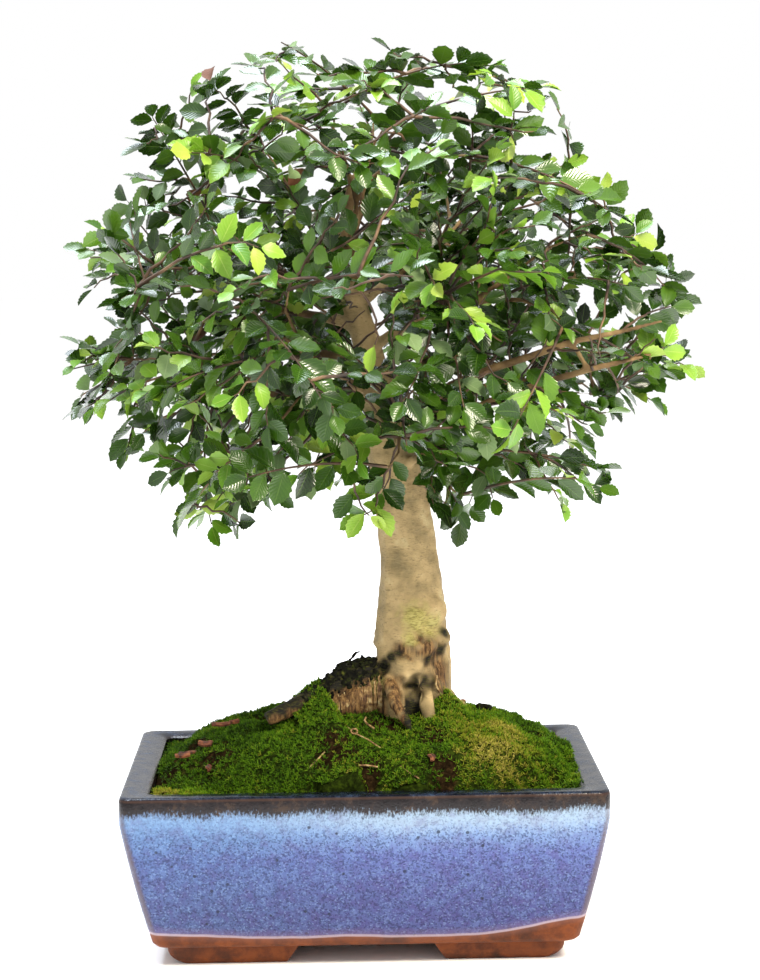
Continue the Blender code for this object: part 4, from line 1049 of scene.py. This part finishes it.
add_nodes(straw, grain_rows({"Scale": per_mm(3), "Detail": 2.0}, straw_browns))
straw_mesh = bmesh.new()
straw_mesh.from_mesh(tubes(straw_lines, 1))
straws = add_object("straws_and_hair_roots", straw_mesh, straw)
straws.data.shade_smooth()
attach(straws, "root")

# Crown: alternate shoots in two ranks on thin brown twigs, all round the dome. Each packed spray
# gets its own fine shoot back, with more shoots from the wood round it. Leaves are 10 to 20 mm long,
# blunt-toothed, folded a little along the rib: waxy dark ones, and thin bright ones at the tips.
CROWN = (
    (0.208, -0.088, 0.060),
    (0.226, -0.104, 0.092),
    (0.245, -0.124, 0.112),
    (0.270, -0.149, 0.152),
    (0.296, -0.152, 0.172),
    (0.332, -0.146, 0.172),
    (0.352, -0.144, 0.154),
    (0.375, -0.124, 0.128),
    (0.405, -0.112, 0.112),
    (0.430, -0.090, 0.098),
    (0.447, -0.070, 0.072),
    (0.456, -0.036, 0.036),
)
CROWN_DEPTH_RATIO = 0.87
CROWN_HEART = Vector((0.010, 0.0, 0.290))
SHOOT_COUNT = 485
SHOOT_CANDIDATES = 10
SHOOT_LENGTH = 0.046
LEAF_STEP = 0.0056
LEAF_ANGLE = math.radians(54)
LEAF_SIZES = (0.0092, 0.0152)
LEAF_TEETH = 6
LEAF_HALF_WIDTH = 0.29
STALK_SHARE = 0.09
TWIG_RADIUS = 0.00075
TWIG_TIP = 0.00032
# Shoots that stand out of the outline: tip x and z, a point further in, depth, share of young leaves
TIP_SHOOTS = (
    (-0.043, 0.454, -0.022, 0.425, -0.010, 0.6),
    (-0.081, 0.446, -0.086, 0.392, 0.010, 0.7),
    (-0.116, 0.409, -0.078, 0.398, -0.020, 0.1),
    (-0.121, 0.393, -0.080, 0.378, 0.020, 0.3),
    (-0.137, 0.366, -0.098, 0.352, -0.030, 0.4),
    (-0.149, 0.353, -0.110, 0.343, 0.015, 0.8),
    (-0.129, 0.327, -0.088, 0.333, -0.040, 0.0),
    (-0.151, 0.299, -0.100, 0.302, 0.010, 0.2),
    (-0.150, 0.271, -0.104, 0.284, -0.020, 0.1),
    (-0.126, 0.244, -0.104, 0.276, 0.030, 0.9),
    (-0.090, 0.244, -0.076, 0.280, -0.040, 0.0),
    (-0.088, 0.211, -0.050, 0.242, -0.010, 0.4),
    (-0.074, 0.211, -0.046, 0.238, 0.010, 0.0),
    (0.133, 0.227, 0.086, 0.240, -0.020, 0.1),
    (0.106, 0.214, 0.092, 0.240, -0.040, 1.0),
    (0.164, 0.266, 0.122, 0.286, 0.010, 0.5),
    (0.177, 0.287, 0.140, 0.300, -0.020, 0.7),
    (0.175, 0.333, 0.126, 0.330, 0.010, 0.3),
    (0.153, 0.361, 0.116, 0.350, -0.010, 0.3),
    (0.126, 0.391, 0.116, 0.352, -0.030, 0.2),
    (0.102, 0.426, 0.072, 0.412, 0.010, 0.3),
    (0.075, 0.446, 0.056, 0.424, -0.010, 0.8),
    (0.038, 0.448, 0.020, 0.425, 0.010, 0.1),
    (0.021, 0.455, 0.008, 0.428, -0.020, 0.0),
    (0.004, 0.222, 0.020, 0.244, -0.045, 0.4),
    (0.040, 0.214, 0.030, 0.246, -0.050, 0.5),
)
# Gaps in the foliage through which trunk and limbs show: x and z range, in front of this depth
WINDOWS = (
    (-0.006, 0.015, 0.303, 0.333, -0.010),
    (0.062, 0.104, 0.291, 0.306, -0.058),
    (0.104, 0.150, 0.302, 0.316, -0.050),
    (0.094, 0.140, 0.286, 0.298, -0.058),
)
box_low = Vector(cad_box[0]) + Vector((0.0016, 0.0016, 0))
box_high = Vector(cad_box[1]) - Vector((0.0016, 0.0016, 0.0016))


def crown_edge(z, azimuth):
    """A point on the crown's outline at a height and an azimuth, with low lumps."""
    left, right = (between_rows([(row[0], row[side]) for row in CROWN], z) for side in (1, 2))
    half = (right - left) / 2
    lump = 1 + 0.10 * noise.noise(Vector((math.cos(azimuth), math.sin(azimuth), z * 16)) * 2.2)
    x = (left + right) / 2 + half * math.cos(azimuth)
    return Vector((x, CROWN_DEPTH_RATIO * half * math.sin(azimuth) * lump, z))


def leaf_pattern(rng, slot):
    """A leaf of length 1 along +X, its stalk at the origin and its upper side up."""
    leaf = bmesh.new()
    columns = 2 * LEAF_TEETH + 1
    bmesh.ops.create_grid(leaf, x_segments=columns, y_segments=2, size=0.5)
    uv = leaf.loops.layers.uv.new("leaf")
    for face in leaf.faces:
        face.material_index = slot
        for loop in face.loops:
            loop[uv].uv = (loop.vert.co.x + 0.5, loop.vert.co.y + 0.5)
    fold = rng.uniform(0.15, 0.62)
    droop = rng.uniform(-0.04, 0.30)
    twist = rng.uniform(-0.35, 0.35)
    wave = rng.uniform(0.0, 0.035)
    phase = rng.uniform(0, 6.3)
    full = rng.uniform(0.85, 1.12)
    for vert in leaf.verts:
        share = vert.co.x + 0.5
        side = 2 * vert.co.y
        column = round(share * columns)
        blade = max(0.0, (share - STALK_SHARE) / (1 - STALK_SHARE))
        width = LEAF_HALF_WIDTH * full * max(0.0, math.sin(math.pi * blade**1.02)) ** 0.72
        tooth = 0.09 if column % 2 else -0.05
        width = max(width * (1 + tooth), 0.014 if share < 0.99 else 0.0)
        forward_shift = 0.022 * abs(side) if column % 2 else 0.0
        y = side * width
        z = fold * abs(y) - droop * share * share + wave * math.sin(9 * share + phase) * side
        cos, sin = math.cos(twist * share), math.sin(twist * share)
        vert.co = (share + forward_shift, y * cos - z * sin, y * sin + z * cos)
    bmesh.ops.remove_doubles(leaf, verts=leaf.verts, dist=1e-5)
    data = bpy.data.meshes.new("leaf_pattern")
    leaf.to_mesh(data)
    leaf.free()
    return data


def curve_between(start, start_slope, end, end_slope, spans):
    """Points on a smooth curve between two points with given directions."""
    points = []
    for k in range(spans + 1):
        t = k / spans
        points.append(
            start * (2 * t**3 - 3 * t**2 + 1)
            + start_slope * (t**3 - 2 * t**2 + t)
            + end * (3 * t**2 - 2 * t**3)
            + end_slope * (t**3 - t**2)
        )
    return points


def along_path(path, distance):
    """The point and direction that far back from a path's end."""
    for k in range(len(path) - 1, 0, -1):
        span = path[k - 1] - path[k]
        if distance <= span.length:
            return path[k] + span * (distance / span.length), -span.normalized()
        distance -= span.length
    return path[0], (path[1] - path[0]).normalized()


def path_length(path):
    """How long a path is along its points."""
    return sum((b - a).length for a, b in zip(path, path[1:]))


def in_window(point):
    """Whether a point is in one of the gaps."""
    here = point - CENTRE
    return any(x0 < here.x < x1 and z0 < here.z < z1 and here.y < front for x0, x1, z0, z1, front in WINDOWS)


def scatter(rng, spread):
    """A random vector with this spread on each axis."""
    return Vector([rng.gauss(0, spread) for _ in range(3)])


def add_leaf(group, point, out, face, size, slot, rng):
    """One leaf on a twig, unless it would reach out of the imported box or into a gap."""
    tip = point + out * size
    if in_window(tip) or in_window(point + out * size / 2):
        return
    for axis in range(3):
        if not box_low[axis] < tip[axis] < box_high[axis]:
            return
    up = (face - out * face.dot(out)).normalized()
    matrix = Matrix((out, up.cross(out), up)).transposed().to_4x4() @ Matrix.Scale(size, 4)
    matrix.translation = point
    leaves = group["leaves"]
    shade = min(1.0, max(0.0, rng.gauss(0.5, 0.22)))
    stamp(leaves, rng.choice(leaf_patterns[slot]), matrix, [(leaves.verts.layers.float["shade"], shade)])


def leafy_shoot(group, path, face, leafy_length, sizes, young, rng):
    """Leaves right and left in turn back from a path's end, smaller towards it."""
    leafy_length = min(leafy_length, path_length(path) * 0.92)
    count = max(2, int(leafy_length / LEAF_STEP))
    side = rng.choice((-1, 1))
    young_shoot = rng.random() < young
    for k in range(count + 1):
        back = 0.0 if k == 0 else (k - 0.5) * LEAF_STEP * rng.uniform(0.92, 1.08)
        point, along = along_path(path, back)
        share = k / count
        size = sizes[0] + (sizes[1] - sizes[0]) * math.sin(math.pi * min(1.0, 0.14 + share * 0.75))
        size *= rng.uniform(0.85, 1.15)
        angle = 0.1 if k == 0 else LEAF_ANGLE * rng.uniform(0.75, 1.25)
        side = -side
        across = face.cross(along).normalized() * side
        tip_up = scatter(rng, 0.3)
        out = (along * math.cos(angle) + across * math.sin(angle) + tip_up * 0.45).normalized()
        fresh = young_shoot and rng.random() < 1.1 - share
        slot = 1 if fresh else 0
        if rng.random() < 0.045:
            slot = 2 if rng.random() < 0.07 else 3
        add_leaf(group, point, out, (face + tip_up).normalized(), size, slot, rng)


def near_tree(points):
    """A search tree that finds the nearest of some points."""
    near = KDTree(len(points))
    for i, point in enumerate(points):
        near.insert(point, i)
    near.balance()
    return near


crown_rng = random.Random(23)
leaf_patterns = [[leaf_pattern(crown_rng, slot) for _ in range(9)] for slot in range(4)]
wood_points = [vert.co.copy() for vert in tree.data.vertices if vert.co.z > 0.232][::3]
wood_near = near_tree(wood_points)

groups = {}
anchors = []
for name in sorted(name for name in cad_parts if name.startswith("spray_")):
    corners = [vert.co.copy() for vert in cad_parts[name].data.vertices]
    base = min(corners, key=lambda corner: wood_near.find(corner)[2])
    tip = max(corners, key=lambda corner: (corner - base).length)
    reach = tip - base
    halfway = [c for c in corners if 0.35 < (c - base).dot(reach) / reach.length_squared < 0.65]
    middle = sum(halfway, Vector()) / len(halfway)
    along = reach.normalized()
    sides = [(c - base - along * (c - base).dot(along)) for c in corners]
    widest = max(sides, key=lambda s: s.length).normalized()
    face = along.cross(widest).normalized()
    outward = (middle - CENTRE - CROWN_HEART).normalized() + Vector((0, 0, 0.5))
    if face.dot(outward) < 0:
        face = -face
    leaves = bmesh.new()
    leaves.verts.layers.float.new("shade")
    group = {"leaves": leaves, "twigs": [], "middle": middle, "young": int(name[-2:]) % 4 == 0}
    groups[name] = group
    bow = middle - (base + tip) / 2
    path = []
    for k in range(9):
        t = k / 8
        path.append(base.lerp(tip, t) + bow * 4 * t * (1 - t))
    group["twigs"].append((path[:-1], 0.0009))
    young = 0.95 if group["young"] else 0.12
    leafy_shoot(group, path[:-1], face, 0.068, (0.0115, 0.0168), young, crown_rng)
    anchors += [(path[k], (path[k + 1] - path[k]).normalized()) for k in range(0, 8, 2)]


def nearest_group(point):
    """The spray whose middle is nearest."""
    return min(groups.values(), key=lambda group: (group["middle"] - point).length)


def grow_shoot(start, target, heading, face, young, rng, sizes=LEAF_SIZES, leafy=SHOOT_LENGTH):
    """A twig from the wood to a target, leafy over its outer part."""
    group = nearest_group(target)
    reach = (target - start).length
    rise = (target - start).normalized() + Vector((0, 0, 0.25))
    path = curve_between(start, rise * reach * 0.8, target, heading * reach * 0.8, 8)
    wobble = [scatter(rng, 1) * 0.0007 for _ in path]
    path = [path[0]] + [point + move for point, move in zip(path[1:-1], wobble)] + [path[-1]]
    group["twigs"].append((path, TWIG_RADIUS * (0.8 + reach * 8)))
    leafy_shoot(group, path, face, leafy, sizes, young, rng)
    return path


def facing(point, heading, rng):
    """Which way a shoot's leaves face: out of the crown and up to the light."""
    radial = (point - CENTRE - CROWN_HEART).normalized()
    face = radial * 0.7 + Vector((0, 0, 0.65)) + scatter(rng, 0.3)
    return (face - heading * face.dot(heading)).normalized()


anchor_near = near_tree(wood_points + [point for point, _ in anchors])
for tip_x, tip_z, in_x, in_z, depth, young in TIP_SHOOTS:
    tip = CENTRE + Vector((tip_x, depth, tip_z))
    inner = CENTRE + Vector((in_x, depth * 0.8, in_z))
    start = anchor_near.find(inner)[0].copy()
    heading = (tip - inner).normalized()
    pulled = tip - heading * 0.013
    grow_shoot(start, pulled, heading, facing(tip, heading, crown_rng), young, crown_rng)

targets = [group["middle"].copy() for group in groups.values()]
for _ in range(SHOOT_COUNT):
    best = None
    for _ in range(SHOOT_CANDIDATES):
        z = crown_rng.uniform(CROWN[0][0], CROWN[-1][0] - 0.006)
        if crown_rng.random() > (z - 0.190) / 0.07:
            continue
        edge = crown_edge(z, crown_rng.uniform(0, 2 * math.pi))
        spot = CENTRE + CROWN_HEART.lerp(edge, 1 - 0.58 * crown_rng.random() ** 1.5)
        gap = min((spot - other).length for other in targets)
        if best is None or gap > best[0]:
            best = (gap, spot)
    if best is None:
        continue
    spot = best[1]
    targets.append(spot)
    radial = (spot - CENTRE - CROWN_HEART).normalized()
    sway = Vector((crown_rng.uniform(-1, 1), crown_rng.uniform(-1, 1), crown_rng.uniform(-0.9, 0.5)))
    heading = (radial * 0.75 + sway * 0.75).normalized()
    if spot.z > 0.43:
        heading.z = min(heading.z, 0.1)
        heading.normalize()
    spot = spot - heading * 0.010
    start = anchor_near.find(spot - heading * 0.035)[0].copy()
    grow_shoot(start, spot, heading, facing(spot, heading, crown_rng), 0.22, crown_rng)

leaf_finishes = []
for name, stops, rib, roughness, gloss in (
    ("waxy mature elm leaf", ("#0f1d04", "#1d3707", "#2f4e0d", "#4b6d19"), "#58762f", 0.22, 0.5),
    ("thin young elm leaf", ("#3d6a10", "#547f18", "#6e9426", "#8fa63c"), "#a3b25c", 0.34, 0.4),
    ("dry dead elm leaf", ("#2c170e", "#432517", "#573623", "#664729"), "#4c3220", 0.7, 0.2),
    ("underside of elm leaf", ("#3f5334", "#50663f", "#5f7549", "#738758"), "#84946a", 0.6, 0.2),
):
    finish = new_material(name, stops[1], roughness, Specular_IOR_Level=gloss)
    leaf_uv = add_node(finish, "UVMap", {"uv_map": "leaf"}).outputs["UV"]
    leaf_place = add_node(finish, "SeparateXYZ", links={0: leaf_uv}).outputs
    made = {"along": leaf_place["X"], "across": leaf_place["Y"]}
    made["place"] = add_node(finish, "TexCoord").outputs["Object"]
    add_nodes(finish, (
        ("patches", "TexNoise", {"Scale": per_mm(9), "Detail": 2.0}, {0: "place"}),
        ("mixed", "Math", {"operation": "MULTIPLY_ADD", 1: 0.35}, {0: "patches", 2: "shade"}),
        ("depth", "MapRange", {"ends": (0.12, 1.08, 0, 1)}, {0: "mixed"}),
        ("blade", "ValToRGB", {"stops": tuple((k / 3, stop) for k, stop in enumerate(stops))}, {0: "depth"}),
        ("off rib", "Math", {"operation": "SUBTRACT", 1: 0.5}, {0: "across"}),
        ("from rib", "Math", {"operation": "ABSOLUTE"}, {0: "off rib"}),
        ("rib", "MapRange", {"ends": (0.030, 0.0, 0, 0.55)}, {0: "from rib"}),
        # Painted light: a pale line along the leaf's edge, for light shining through the thin margin
        ("margin", "MapRange", {"ends": (0.465, 0.5, 0, 0.5)}, {0: "from rib"}),
        # Nine pairs of side veins, slanting to the tip
        ("slant", "Math", {"operation": "MULTIPLY_ADD", 1: -0.55}, {0: "from rib", 2: "along"}),
        ("turns", "Math", {**MULTIPLY, 1: 9 * 2 * math.pi}, {0: "slant"}),
        ("vein", "Math", {"operation": "SINE"}, {0: "turns"}),
        ("vein line", "MapRange", {"ends": (0.75, 1.0, 0, 0.07)}, {0: "vein"}),
        ("lines", "Math", MAXIMUM, {0: "rib", 1: "margin"}),
        ("lines", "Math", MAXIMUM, {0: "lines", 1: "vein line"}),
        ("colour", "Mix", {**COLOUR, 7: linear(rib)}, {0: "lines", 6: "blade"}),
        ("bumps", "Bump", {"Strength": 0.15, "Distance": 0.0003}, {"Height": "vein"}),
    ), attributes=("shade",), made=made)
    leaf_finishes.append(finish)

twig_bark = new_material("young elm twig bark", "#6b4a30", 0.7)
twig_browns = ((0.30, "#21150e"), (0.52, "#422d1d"), (0.72, "#6f5538"))
add_nodes(twig_bark, grain_rows({"Scale": per_mm(12), "Detail": 3.0}, twig_browns))

for name, group in groups.items():
    lines = []
    for path, start_radius in group["twigs"]:
        step = (TWIG_TIP - start_radius) / (len(path) - 1)
        lines.append((path, [start_radius + step * k for k in range(len(path))]))
    before = len(group["leaves"].faces)
    group["leaves"].from_mesh(tubes(lines))
    group["leaves"].faces.ensure_lookup_table()
    for face in group["leaves"].faces[before:]:
        face.material_index = 4
    shoot = add_object(name.replace("spray", "foliage"), group["leaves"], *leaf_finishes, twig_bark)
    shoot.data.shade_smooth()
    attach(shoot, "root")
    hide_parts(name)
